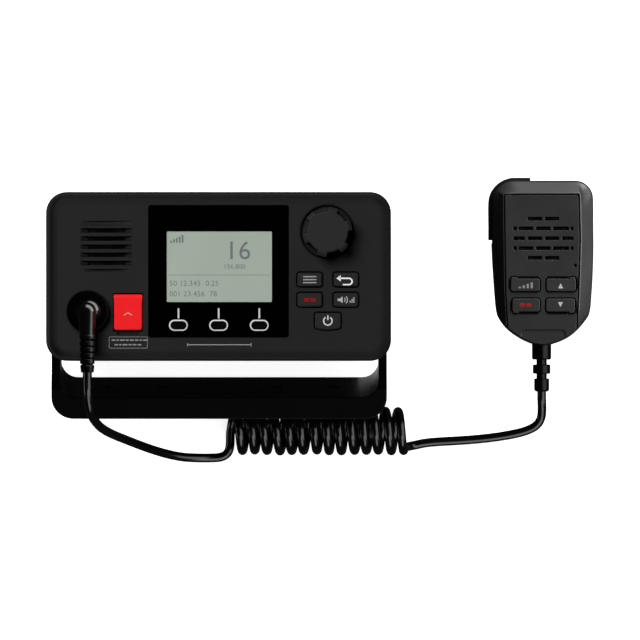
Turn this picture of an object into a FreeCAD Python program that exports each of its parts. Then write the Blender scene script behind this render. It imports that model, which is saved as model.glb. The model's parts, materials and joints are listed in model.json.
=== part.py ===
import FreeCAD, Part
import math
import os

V = FreeCAD.Vector

# ---------------------------------------------------------------- driving dimensions (mm)
# The radio lies on its back: +Z out of the front panel, +X to the right, +Y to the panel's top.
# The origin is the middle of the back, on the tips of the heat sink's fins.
PANEL_W, PANEL_H, PANEL_R = 180.0, 88.2, 11.0
PANEL_Z0, PANEL_Z1 = 58.0, 78.0
PANEL_EDGE = 5.3
WALL = 2.6
FACE = 3.0
WINDOW = (0.1, 2.6, 73.3, 69.1, 1.5)          # centre x, y, width, height, corner
LCD = (0.4, 5.1, 54.9, 36.9)
SOFT_KEYS = {"soft_key_left": -20.8, "soft_key_middle": 0.15, "soft_key_right": 21.3}
SOFT_Y = -25.5
SOFT_W, SOFT_H = 9.9, 5.9
KNOB = (56.8, 23.1)
KNOB_R, KNOB_LUG_R = 10.7, 12.9
KNOB_RECESS_R, KNOB_RECESS_Z = 13.4, 75.0            # the dish's floor
KNOB_DISH_R = 14.6                            # the dish's rim in the face
KEYS = {"menu_key": (47.6, -1.7), "back_key": (66.4, -1.7), "priority_key": (47.6, -12.2), "volume_key": (66.4, -12.2)}
KEY_W, KEY_H, KEY_R = 12.9, 7.3, 1.3
POWER_KEY = (57.0, -23.4, 13.5, 8.8)
KEY_GAP = 0.68
KEY_TOP = 79.2
KEY_TRAVEL = 0.8
SPEAKER = (-58.2, 15.5)
SLOT_ROWS = ((27.6, 26.0, 2.5, 1.5), (23.9, 27.0, 2.4, 5.6), (19.7, 27.0, 2.4, 5.6), (15.4, 27.0, 2.4, 5.6), (11.2, 27.0, 2.4, 5.6), (6.9, 27.0, 2.4, 5.6), (3.2, 23.4, 1.3, 1.8))  # y, width, height, depth
COVER = (-54.4, -39.7, -27.9, -9.3)           # x0, x1, y0, y1
COVER_AXIS = (-11.0, 77.1)                    # y, z
COVER_PIN_R = 0.6
SOCKET = (-68.0, -18.2)
NUT_R = 10.9
PLUG_AXIS_Z = 90.0
CASE_X, CASE_Y, CASE_Z0 = 73.0, 37.0, 12.0
CASE_WALL = 2.5
PIVOT_Z = 45.6
BRACKET_TILT = 15.0
BRACKET_OUT_X = 88.0
BRACKET_ARM_T = 4.4
BRACKET_BASE_IN, BRACKET_BASE_OUT = 60.1, 72.0
BRACKET_END_R = 11.9
BRACKET_HALF_DEPTH = 20.3
ARM_IN_X = 75.6
CORD_R = 2.4
COIL_C = (-81.4, 13.2)                        # y, z of the coil's axis
COIL_R = 13.0
COIL_X0, COIL_X1 = 4.0, 99.0
SO239_R = 7.94

os.makedirs("parts", exist_ok=True)
NODES = {}


def box(x0, x1, y0, y1, z0, z1):
    return Part.makeBox(x1 - x0, y1 - y0, z1 - z0, V(x0, y0, z0))


def cyl(x, y, z0, z1, r):
    return Part.makeCylinder(r, z1 - z0, V(x, y, z0), V(0, 0, 1))


def cylx(x0, x1, y, z, r):
    return Part.makeCylinder(r, x1 - x0, V(x0, y, z), V(1, 0, 0))


def cyly(x, y0, y1, z, r):
    return Part.makeCylinder(r, y1 - y0, V(x, y0, z), V(0, 1, 0))


def rwire(cx, cy, w, h, r, z):
    x0, x1, y0, y1 = cx - w / 2, cx + w / 2, cy - h / 2, cy + h / 2
    r = min(r, w / 2 - 0.001, h / 2 - 0.001)
    q = r * (1 - math.sqrt(0.5))
    e = [
        Part.LineSegment(V(x0 + r, y0, z), V(x1 - r, y0, z)).toShape(),
        Part.Arc(V(x1 - r, y0, z), V(x1 - q, y0 + q, z), V(x1, y0 + r, z)).toShape(),
        Part.LineSegment(V(x1, y0 + r, z), V(x1, y1 - r, z)).toShape(),
        Part.Arc(V(x1, y1 - r, z), V(x1 - q, y1 - q, z), V(x1 - r, y1, z)).toShape(),
        Part.LineSegment(V(x1 - r, y1, z), V(x0 + r, y1, z)).toShape(),
        Part.Arc(V(x0 + r, y1, z), V(x0 + q, y1 - q, z), V(x0, y1 - r, z)).toShape(),
        Part.LineSegment(V(x0, y1 - r, z), V(x0, y0 + r, z)).toShape(),
        Part.Arc(V(x0, y0 + r, z), V(x0 + q, y0 + q, z), V(x0 + r, y0, z)).toShape(),
    ]
    return Part.Wire(e)


def rbox(cx, cy, w, h, r, z0, z1):
    return Part.Face(rwire(cx, cy, w, h, r, z0)).extrude(V(0, 0, z1 - z0))


def poly(points, vec):
    """A prism of the closed polygon given, extruded along vec."""
    pts = [V(*p) for p in points]
    return Part.Face(Part.makePolygon(pts + [pts[0]])).extrude(vec)


def fuse(first, *rest):
    out = first
    for s in rest:
        out = out.fuse(s)
    return out.removeSplitter()


def cut(first, *rest):
    out = first
    for s in rest:
        out = out.cut(s)
    return out


def top_edges(shape, z):
    return [e for e in shape.Edges if all(abs(v.Z - z) < 1e-4 for v in e.Vertexes) and abs(e.BoundBox.ZMax - z) < 1e-3 and abs(e.BoundBox.ZMin - z) < 1e-3]


def soften(shape, z, r):
    try:
        out = shape.makeFillet(r, top_edges(shape, z))
        if out.isValid() and out.Volume > 0:
            return out
    except Exception:
        pass
    print("no fillet at", z, r)
    return shape


def node(name, shape):
    NODES[name] = shape


# ---------------------------------------------------------------- cord route helpers
def route_wire(name, points):
    """Straight runs joined by tangent arcs: each arc's tangent length is 0.45 of its shorter run."""
    p = [V(*q) for q in points]
    edges, start, radii = [], p[0], []
    for i in range(1, len(p) - 1):
        u1, u2 = p[i - 1] - p[i], p[i + 1] - p[i]
        t = 0.45 * min(u1.Length, u2.Length)
        u1.normalize()
        u2.normalize()
        turn = math.pi - u1.getAngle(u2)
        r = t / math.tan(turn / 2)
        radii.append(r)
        a, b = p[i] + u1 * t, p[i] + u2 * t
        bis = (u1 + u2).normalize()
        mid = p[i] + bis * (math.sqrt(t * t + r * r) - r)
        edges.append(Part.LineSegment(start, a).toShape())
        edges.append(Part.Arc(a, mid, b).toShape())
        start = b
    edges.append(Part.LineSegment(start, p[-1]).toShape())
    wire = Part.Wire(edges)
    print(name, "length", round(wire.Length, 1), "radii", [round(r, 1) for r in radii])
    return wire


def tube(name, points, r):
    wire = route_wire(name, points)
    d = V(*points[1]) - V(*points[0])
    circle = Part.Wire(Part.Circle(V(*points[0]), d, r).toShape())
    solid = Part.Solid(wire.makePipeShell([circle], True, False))
    want = math.pi * r * r * wire.Length
    print(name, "volume", round(solid.Volume, 1), "section x length", round(want, 1), "valid", solid.isValid())
    return solid


# ================================================================ radio head
# front panel: a moulded shell with a stepped pocket behind, a floor behind the window and a tub under the cover
px, py, pw, ph, pr = WINDOW
panel = rbox(0, 0, PANEL_W, PANEL_H, PANEL_R, PANEL_Z0, PANEL_Z1)
panel = soften(panel, PANEL_Z1, PANEL_EDGE)
panel = panel.cut(rbox(0, 0, PANEL_W - 2 * WALL, PANEL_H - 2 * WALL, PANEL_R - WALL, PANEL_Z0 - 1, 62.0))
panel = panel.cut(rbox(0, 0, PANEL_W - 11.2, PANEL_H - 11.2, 5.4, 61.0, PANEL_Z1 - FACE))
BOSSES = [(x, y) for x in (-80.0, 80.0) for y in (-34.0, 34.0)]
tub_x0, tub_x1, tub_y0, tub_y1 = COVER[0] - 0.45, COVER[1] + 0.45, COVER[2] - 0.9, COVER[3] + 0.6
adds = [cyl(x, y, 62.0, 76.0, 3.9) for x, y in BOSSES]
adds.append(rbox(px, py, pw + 3.6, ph + 3.4, 4, 72.8, 75.5))
adds.append(cyl(KNOB[0], KNOB[1], 72.9, 75.5, KNOB_DISH_R + 0.5))
adds.append(box(tub_x0 - 1.6, tub_x1 + 1.6, tub_y0 - 3.4, tub_y1 + 1.6, 71.5, 75.5))
panel = fuse(panel, *adds)
cuts = [rbox(px, py, pw, ph, pr, 75.0, 80.0)]
cuts.append(rbox(LCD[0], LCD[1], LCD[2] + 1.1, LCD[3] + 1.1, 1.0, 72.0, 76.0))
for x in SOFT_KEYS.values():
    cuts.append(rbox(x, SOFT_Y, SOFT_W + 0.7, SOFT_H + 0.7, 9, 72.0, 76.0))
for x, y in KEYS.values():
    cuts.append(rbox(x, y, KEY_W + 2 * KEY_GAP, KEY_H + 2 * KEY_GAP, KEY_R + KEY_GAP, 74.0, 80.0))


def power_shape(grow, z0, z1):
    """The power key: small top corners, larger bottom corners and a bowed lower edge."""
    cx, cy, w, h = POWER_KEY
    x0, x1, y0, y1 = cx - w / 2 - grow, cx + w / 2 + grow, cy - h / 2 - grow, cy + h / 2 + grow
    body = box(x0, x1, y0, y1, z0, z1).common(cyl(cx, y0 + 26.0, z0 - 1, z1 + 1, 26.0))
    for top, r in ((True, 1.0 + grow), (False, 1.3 + grow)):
        e = [k for k in body.Edges if k.BoundBox.ZLength > (z1 - z0) - 1e-3 and k.BoundBox.XLength < 1e-3 and k.BoundBox.YLength < 1e-3 and (k.BoundBox.YMin > cy) == top]
        body = body.makeFillet(r, e)
    return body


cuts.append(power_shape(KEY_GAP, 74.0, 80.0))
# the dish under the knob: a floor and a side that rises at 45 degrees to the face, its rim eased
rise = PANEL_Z1 - KNOB_RECESS_Z
dish = [V(0, 0, 0), V(KNOB_RECESS_R, 0, 0), V(KNOB_RECESS_R + 0.3, 0, 0.42 * rise), V(KNOB_DISH_R - 0.45, 0, rise - 0.22), V(KNOB_DISH_R + 0.5, 0, rise + 0.02), V(KNOB_DISH_R + 0.5, 0, rise + 2.0), V(0, 0, rise + 2.0)]
dish = Part.Face(Part.makePolygon(dish + [dish[0]])).revolve(V(0, 0, 0), V(0, 0, 1), 360)
dish.translate(V(KNOB[0], KNOB[1], KNOB_RECESS_Z))
cuts.append(dish)
cuts.append(cyl(KNOB[0], KNOB[1], 72.0, 80.0, 3.6))
cuts.append(cyl(SOCKET[0], SOCKET[1], 74.0, 80.0, 8.25))
# speaker slots: each cutter's lower side is an arc, so the slot's ends run out in the face
for y, w, tall, depth in SLOT_ROWS:
    h = w / 2
    R = (h * h + depth * depth) / (2 * depth)
    arc = Part.Arc(V(SPEAKER[0] - h, y - tall / 2, PANEL_Z1), V(SPEAKER[0], y - tall / 2, PANEL_Z1 - depth), V(SPEAKER[0] + h, y - tall / 2, PANEL_Z1)).toShape()
    up = Part.makePolygon([V(SPEAKER[0] + h, y - tall / 2, PANEL_Z1), V(SPEAKER[0] + h, y - tall / 2, PANEL_Z1 + 2), V(SPEAKER[0] - h, y - tall / 2, PANEL_Z1 + 2), V(SPEAKER[0] - h, y - tall / 2, PANEL_Z1)])
    cuts.append(Part.Face(Part.Wire([arc] + up.Edges)).extrude(V(0, tall, 0)))
# pocket under the cover, its finger recess, the button's hole and the hinge pin's hole
cuts.append(box(tub_x0, tub_x1, tub_y0, tub_y1, 73.2, 80.0))
cuts.append(rbox(-47.05, tub_y0 - 0.5, 11.8, 2.2, 0.8, 74.6, 80.0))
cuts.append(cyl(-47.05, -20.4, 70.0, 75.0, 4.8))
cuts.append(cylx(tub_x0 - 1.3, tub_x1 + 1.3, COVER_AXIS[0], COVER_AXIS[1], COVER_PIN_R))
for x, y in BOSSES:
    cuts.append(cyl(x, y, 61.0, 68.5, 2.2))
    cuts.append(cyl(x, y, 61.0, 73.0, 1.7))
panel = cut(panel, *cuts)
node("front_panel", panel)

node("panel_gasket", cut(rbox(0, 0, 173.6, 81.8, 7.8, 61.0, 62.0), rbox(0, 0, 169.6, 77.8, 6.0, 60.0, 63.0), *[cyl(x, y, 60, 63, 3.9) for x, y in BOSSES]))

# rear case: tub with a flange plate that closes the panel's skirt
case = rbox(0, 0, 2 * CASE_X, 2 * CASE_Y, 8.0, CASE_Z0, 60.0)
case = soften(case, CASE_Z0, 2.5)
flange = rbox(0, 0, PANEL_W - 2 * WALL - 0.8, PANEL_H - 2 * WALL - 0.8, 8.0, 58.0, 61.0)
case = fuse(case, flange)
case = case.cut(rbox(0, 0, 2 * (CASE_X - CASE_WALL), 2 * (CASE_Y - CASE_WALL), 5.5, CASE_Z0 + CASE_WALL, 62.0))
adds = [cylx(65.0, 71.5, 0, PIVOT_Z, 7.5), cylx(-71.5, -65.0, 0, PIVOT_Z, 7.5)]
POSTS = [(x, y) for x in (-60.0, 60.0) for y in (-26.0, 26.0)]
adds += [cyl(x, y, 14.0, 22.0, 3.4) for x, y in POSTS]
case = fuse(case, *adds)
cuts = [cylx(60.0, 80.0, 0, PIVOT_Z, 3.3), cylx(-80.0, -60.0, 0, PIVOT_Z, 3.3)]
cuts += [cylx(64.0, 70.0, 0, PIVOT_Z, 5.0), cylx(-70.0, -64.0, 0, PIVOT_Z, 5.0)]
cuts += [cyl(x, y, 15.8, 23.0, 1.5) for x, y in POSTS]
cuts += [cyl(x, y, 57.0, 62.0, 1.7) for x, y in BOSSES] + [cyl(x, y, 57.0, 59.8, 3.0) for x, y in BOSSES]
HS_SCREWS = [(-50.0, -20.0), (-50.0, 20.0), (22.0, -20.0), (22.0, 20.0)]
cuts += [cyl(x, y, 11.0, 16.0, 1.6) for x, y in HS_SCREWS]
ANTENNA = (56.0, 14.0)
GLANDS = ((50.0, -9.5, 3.9), (62.8, -11.5, 3.1))
cuts += [cyl(ANTENNA[0], ANTENNA[1], 11.0, 16.0, 6.0)]
cuts += [cyl(x, y, 11.0, 16.0, r) for x, y, r in GLANDS]
# shallow finger flutes along the long sides
for i in range(-5, 6):
    for s in (-1, 1):
        cuts.append(cyl(i * 11.5, s * (CASE_Y + 1.2), 16.0, 54.0, 2.2))
case = cut(case, *cuts)
node("rear_case", case)

# heat sink: plate and fins; the middle fin is wider, and its tip carries the origin
sink = rbox(-15.0, 0, 106.0, 66.0, 3.0, 9.0, 12.0)
fins = []
for i in range(-8, 5):
    x = i * 8.0
    t = 2.4 if i == 0 else 1.1
    fins.append(box(x - t, x + t, -31.0, 31.0, 0.0, 9.5))
sink = fuse(sink, *fins)
sink = cut(sink, *[cyl(x, y, 9.8, 13.0, 1.5) for x, y in HS_SCREWS])
node("heat_sink", sink)
node("heat_sink_screws", Part.makeCompound([fuse(cyl(x, y, 9.8, 14.5, 1.5), cyl(x, y, 14.5, 16.4, 2.8)) for x, y in HS_SCREWS]))

# display stack
key_holes = [rbox(x, SOFT_Y, SOFT_W + 0.7, SOFT_H + 0.7, 9, 70.0, 80.0) for x in SOFT_KEYS.values()]
node("display_lens", cut(soften(rbox(px, py, pw - 0.5, ph - 0.5, pr - 0.2, 75.2, 77.2), 77.2, 0.4), *key_holes))
node("lens_mask", cut(rbox(px, py, pw - 0.5, ph - 0.5, pr - 0.2, 75.0, 75.2), rbox(LCD[0], LCD[1], LCD[2], LCD[3], 0.6, 74.0, 76.0), *key_holes))
node("lcd_panel", fuse(rbox(LCD[0], LCD[1], LCD[2] + 0.7, LCD[3] + 0.7, 0.6, 72.0, 74.7), rbox(LCD[0], LCD[1], 64.0, 45.0, 1.0, 70.6, 72.6)))
node("lcd_backlight", rbox(LCD[0], LCD[1], 64.0, 45.0, 1.0, 68.6, 70.6))
pcb = box(-57.0, 75.4, -37.5, 37.5, 67.0, 68.6)
pcb = cut(pcb, box(-60.0, -40.0, -3.0, 40.0, 66.0, 70.0))
node("panel_pcb", fuse(pcb, box(-30.0, 30.0, -30.0, -14.0, 63.5, 67.0), box(-20.0, 6.0, 2.0, 24.0, 64.5, 67.0)))
main = cut(box(-66.0, 66.0, -31.0, 31.0, 22.0, 23.6), *[cyl(x, y, 20, 25, 1.6) for x, y in POSTS])
node("main_pcb", fuse(main, box(-52, -34, -20, 8, 23.6, 27.5), box(30, 44, -24, -6, 23.6, 31.0), cyl(50, 14, 23.6, 36.0, 5.0), cyl(37, 20, 23.6, 34.0, 4.0)))
node("rf_shield_can", cut(rbox(-2, 0, 54, 44, 2, 23.6, 33.0), rbox(-2, 0, 53, 43, 1.5, 23.0, 32.5)))
node("pcb_screws", Part.makeCompound([fuse(cyl(x, y, 16.5, 23.6, 1.5), cyl(x, y, 23.6, 25.6, 2.8)) for x, y in POSTS]))
node("case_screws", Part.makeCompound([fuse(cyl(x, y, 59.8, 68.0, 1.5), cyl(x, y, 58.3, 59.8, 2.7)) for x, y in BOSSES]))
inserts = [cyl(x, y, 62.4, 68.4, 2.2).cut(cyl(x, y, 62, 69, 1.55)) for x, y in BOSSES]
inserts += [cylx(64.0, 70.0, 0, PIVOT_Z, 5.0).cut(cylx(60, 75, 0, PIVOT_Z, 3.06)), cylx(-70.0, -64.0, 0, PIVOT_Z, 5.0).cut(cylx(-75, -60, 0, PIVOT_Z, 3.06))]
node("threaded_inserts", Part.makeCompound(inserts))

# loudspeaker behind the slots
sx, sy = SPEAKER
drv = cyl(sx, sy, 71.6, 74.9, 15.6).cut(cyl(sx, sy, 72.8, 76.0, 13.8))
drv = fuse(drv, Part.makeCone(9.5, 14.0, 5.0, V(sx, sy, 66.8), V(0, 0, 1)), cyl(sx, sy, 63.0, 67.0, 9.5))
drv = drv.cut(Part.makeCone(3.0, 12.6, 6.0, V(sx, sy, 67.4), V(0, 0, 1)))
drv = drv.cut(cyl(sx, sy, 72.8, 76.0, 13.8))
node("speaker_driver", drv)
cone = Part.makeCone(2.6, 12.0, 5.3, V(sx, sy, 67.8), V(0, 0, 1))
cone = fuse(cone, cyl(sx, sy, 73.0, 73.6, 13.5)).cut(Part.makeCone(1.6, 11.4, 6.0, V(sx, sy, 68.6), V(0, 0, 1)))
node("speaker_cone", fuse(cone, cyl(sx, sy, 68.2, 70.4, 3.2)))

# silicone key mat with its domes
mat = fuse(box(-33.0, 40.0, -34.0, -19.6, 68.6, 69.8), box(36.0, 75.4, -31.0, 8.0, 68.6, 69.8))
domes = [cyl(x, SOFT_Y, 69.0, 70.0, 2.4) for x in SOFT_KEYS.values()]
domes += [cyl(x, y, 69.0, 72.0, 2.8) for x, y in list(KEYS.values()) + [POWER_KEY[:2]]]
node("key_mat", fuse(mat, *domes))

for name, (x, y) in KEYS.items():
    cap = soften(rbox(x, y, KEY_W, KEY_H, KEY_R, 74.0, KEY_TOP), KEY_TOP, 0.7)
    node(name, fuse(cap, rbox(x, y, KEY_W + 2.3, KEY_H + 2.3, KEY_R + 0.5, 73.2, 74.6)))
cx, cy, w, h = POWER_KEY
cap = soften(power_shape(0.0, 74.0, KEY_TOP), KEY_TOP, 0.5)
node("power_key", fuse(cap, rbox(cx, cy, w + 2.3, h + 2.3, 2.0, 73.2, 74.6)))
for name, x in SOFT_KEYS.items():
    cap = soften(rbox(x, SOFT_Y, SOFT_W, SOFT_H, 9, 72.0, 78.0), 78.0, 0.4)
    node(name, fuse(cap, rbox(x, SOFT_Y, SOFT_W + 1.9, SOFT_H + 1.9, 9, 71.2, 72.4)))

# distress cover: hinged along its top edge, the knuckle is round about the axis
x0, x1, y0, y1 = COVER
ay, az = COVER_AXIS
cover = rbox((x0 + x1) / 2, (y0 + ay) / 2, x1 - x0, ay - y0, 1.4, 76.6, 78.8)
cover = soften(cover, 78.8, 0.7)
cover = cover.cut(box(x0 - 1, x1 + 1, ay - 2.4, ay + 3, 70, 90))
cover = fuse(cover, box(x0, x1, ay - 2.6, ay, 76.6, 78.8).common(box(x0, x1, ay - 3, ay, 76, 80)), cylx(x0, x1, ay, az, 1.7))
lip = box(-51.5, -42.6, y0 + 0.6, y0 + 1.8, 75.4, 77.0)
cover = fuse(cover, lip)
cover = cut(cover, cylx(x0 - 1, x1 + 1, ay, az, COVER_PIN_R + 0.06), cylx(-49.2, -44.9, ay, az, 1.25), box(-49.2, -44.9, ay - 0.5, ay + 2, az - 3, az + 0.4))
node("distress_cover", cover)
node("cover_hinge_pin", cylx(tub_x0 - 1.3, tub_x1 + 1.3, ay, az, COVER_PIN_R))
# torsion spring about the pin: a wound sleeve with a leg towards the pocket's floor
edges = []
n = 6
step = 3.6 / n
for i in range(n):
    a = V(-48.8 + i * step, 0, 0.9)
    b = V(-48.8 + (i + 1) * step, 0, 0.9)
    m = V(-48.8 + (i + 0.5) * step, 0, 1.1)
    edges.append(Part.Arc(a, m, b).toShape())
edges.append(Part.LineSegment(V(-45.2, 0, 0.9), V(-45.2, 0, 0.68)).toShape())
edges.append(Part.LineSegment(V(-45.2, 0, 0.68), V(-48.8, 0, 0.68)).toShape())
edges.append(Part.LineSegment(V(-48.8, 0, 0.68), V(-48.8, 0, 0.9)).toShape())
spring = Part.Face(Part.Wire(edges)).revolve(V(0, 0, 0), V(1, 0, 0), 360)
spring.translate(V(0, ay, az))
leg = Part.makeCylinder(0.2, 2.0, V(-48.5, ay, az - 0.85), V(0, 0, -1))
node("cover_spring", fuse(spring, leg))
btn = fuse(soften(cyl(-47.05, -20.4, 70.4, 75.6, 4.4), 75.6, 0.7), cyl(-47.05, -20.4, 69.9, 71.1, 5.6))
node("distress_button", btn)

# rotary encoder, its shaft and the six-lugged knob
kx, ky = KNOB
enc = fuse(rbox(kx, ky, 12.4, 12.4, 1.0, 68.6, 72.8), cyl(kx, ky, 72.5, 77.3, 3.5))
node("rotary_encoder", enc.cut(cyl(kx, ky, 69.4, 80.0, 3.05)))
node("encoder_shaft", cyl(kx, ky, 69.6, 90.4, 3.0))
KNOB_Z0, KNOB_Z1 = 75.6, 94.0
knob = cyl(kx, ky, KNOB_Z0, KNOB_Z1, KNOB_R)
for k in range(6):
    a = math.radians(16 + 60 * k)
    lug = box(8.0, KNOB_LUG_R, -2.6, 2.6, KNOB_Z0, KNOB_Z1)
    lug = lug.makeFillet(0.9, [e for e in lug.Edges if e.BoundBox.ZLength > 10 and e.BoundBox.XMin > KNOB_LUG_R - 0.1])
    lug.rotate(V(0, 0, 0), V(0, 0, 1), math.degrees(a))
    lug.translate(V(kx, ky, 0))
    knob = knob.fuse(lug)
knob = knob.removeSplitter()
# the grip's top is turned down to a shallow cone outside the flat middle
knob = knob.common(fuse(cyl(kx, ky, KNOB_Z0 - 1, KNOB_Z1 - 1.1, 20.0), Part.makeCone(KNOB_LUG_R + 0.4, KNOB_LUG_R - 1.4, 1.15, V(kx, ky, KNOB_Z1 - 1.15), V(0, 0, 1))))
knob = soften(knob, KNOB_Z1, 0.5)
knob = cut(knob, cyl(kx, ky, 75.0, 90.4, 3.0), cyl(kx, ky, 75.0, 79.0, 4.4))
node("tuning_knob", knob)

# microphone socket and the elbow plug held on it by a knurled nut
ux, uy = SOCKET
sock = cut(cyl(ux, uy, 66.0, 81.5, 8.2), cyl(ux, uy, 78.6, 83.0, 6.9))
sock = fuse(sock, cyl(ux, uy, 70.5, 75.0, 9.8))
node("mic_socket", sock)
nut = cyl(ux, uy, 78.6, 84.2, NUT_R)
nut = soften(nut, 84.2, 0.9)
nut = cut(nut, cyl(ux, uy, 77.0, 82.9, 8.3), cyl(ux, uy, 82.0, 86.0, 7.0))
grooves = []
for k in range(30):
    a = 2 * math.pi * k / 30
    grooves.append(cyl(ux + (NUT_R + 0.15) * math.cos(a), uy + (NUT_R + 0.15) * math.sin(a), 78.0, 83.2, 0.55))
nut = cut(nut, *grooves)
node("plug_coupling_nut", nut)
EX, EY = -66.9, -17.7
head = fuse(cyl(ux, uy, 78.8, 84.8, 6.2), cyl(ux, uy, 81.8, 82.6, 7.9))
# the elbow's shoulder is a dome that the arm leaves sideways
rim = [Part.makeLine(V(0, 0, 84.4), V(6.0, 0, 84.4)), Part.makeLine(V(6.0, 0, 84.4), V(6.0, 0, 85.4)), Part.Arc(V(6.0, 0, 85.4), V(5.0, 0, 88.0), V(2.4, 0, 89.6)).toShape()]
rim += [Part.makeLine(V(2.4, 0, 89.6), V(0, 0, 89.6)), Part.makeLine(V(0, 0, 89.6), V(0, 0, 84.4))]
dome = Part.Face(Part.Wire(rim)).revolve(V(0, 0, 0), V(0, 0, 1), 360)
dome.translate(V(EX, EY, 0))
head = fuse(head, dome)
head = fuse(head, Part.makeSphere(4.7, V(-68.0, -18.2, PLUG_AXIS_Z)), cyl(-68.0, -18.2, 84.4, PLUG_AXIS_Z, 4.7))
arm = Part.makeCone(4.7, 4.0, 13.4, V(-68.0, -18.2, PLUG_AXIS_Z), V(0, -1, 0))
prof = [V(0, -30.4, 0), V(4.0, -30.4, 0), V(4.15, -30.7, 0), V(4.15, -32.45, 0), V(4.0, -32.65, 0), V(3.15, -33.2, 0)]
for y, r in ((-34.9, 4.05), (-38.05, 3.97), (-41.15, 3.88), (-44.2, 3.8)):
    prof += [V(r - 0.15, y + 1.15, 0), V(r, y + 1.0, 0), V(r, y - 1.0, 0), V(r - 0.15, y - 1.15, 0), V(r - 1.0, y - 1.57, 0)]
prof += [V(3.5, -46.25, 0), V(3.7, -46.5, 0), V(3.3, -49.7, 0), V(3.05, -50.0, 0), V(0, -50.0, 0)]
relief = Part.Face(Part.makePolygon(prof + [prof[0]])).revolve(V(0, 0, 0), V(0, 1, 0), 360)
relief.translate(V(-67.9, 0, PLUG_AXIS_Z))
plug = fuse(head, arm, relief)
node("mic_plug", plug)

# antenna socket: a threaded barrel on a square flange, with its centre contact
ax_, ay_ = ANTENNA
so = fuse(rbox(ax_, ay_, 21.0, 21.0, 2.0, 10.4, 12.0), cyl(ax_, ay_, 1.0, 11.0, SO239_R), cyl(ax_, ay_, 11.0, 15.5, 5.8))
so = so.cut(cyl(ax_, ay_, 0.0, 9.0, 5.6))
so = fuse(so, cyl(ax_, ay_, 3.5, 10.0, 3.6)).cut(cyl(ax_, ay_, 3.0, 9.0, 2.0))
node("antenna_socket", so)
glands = []
for x, y, r in GLANDS:
    g = fuse(cyl(x, y, 5.4, 12.0, r + 1.9), cyl(x, y, 11.5, 16.2, r))
    glands.append(g.cut(cyl(x, y, 5.0, 17.0, r - 1.3)))
node("cable_glands", Part.makeCompound(glands))


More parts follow.
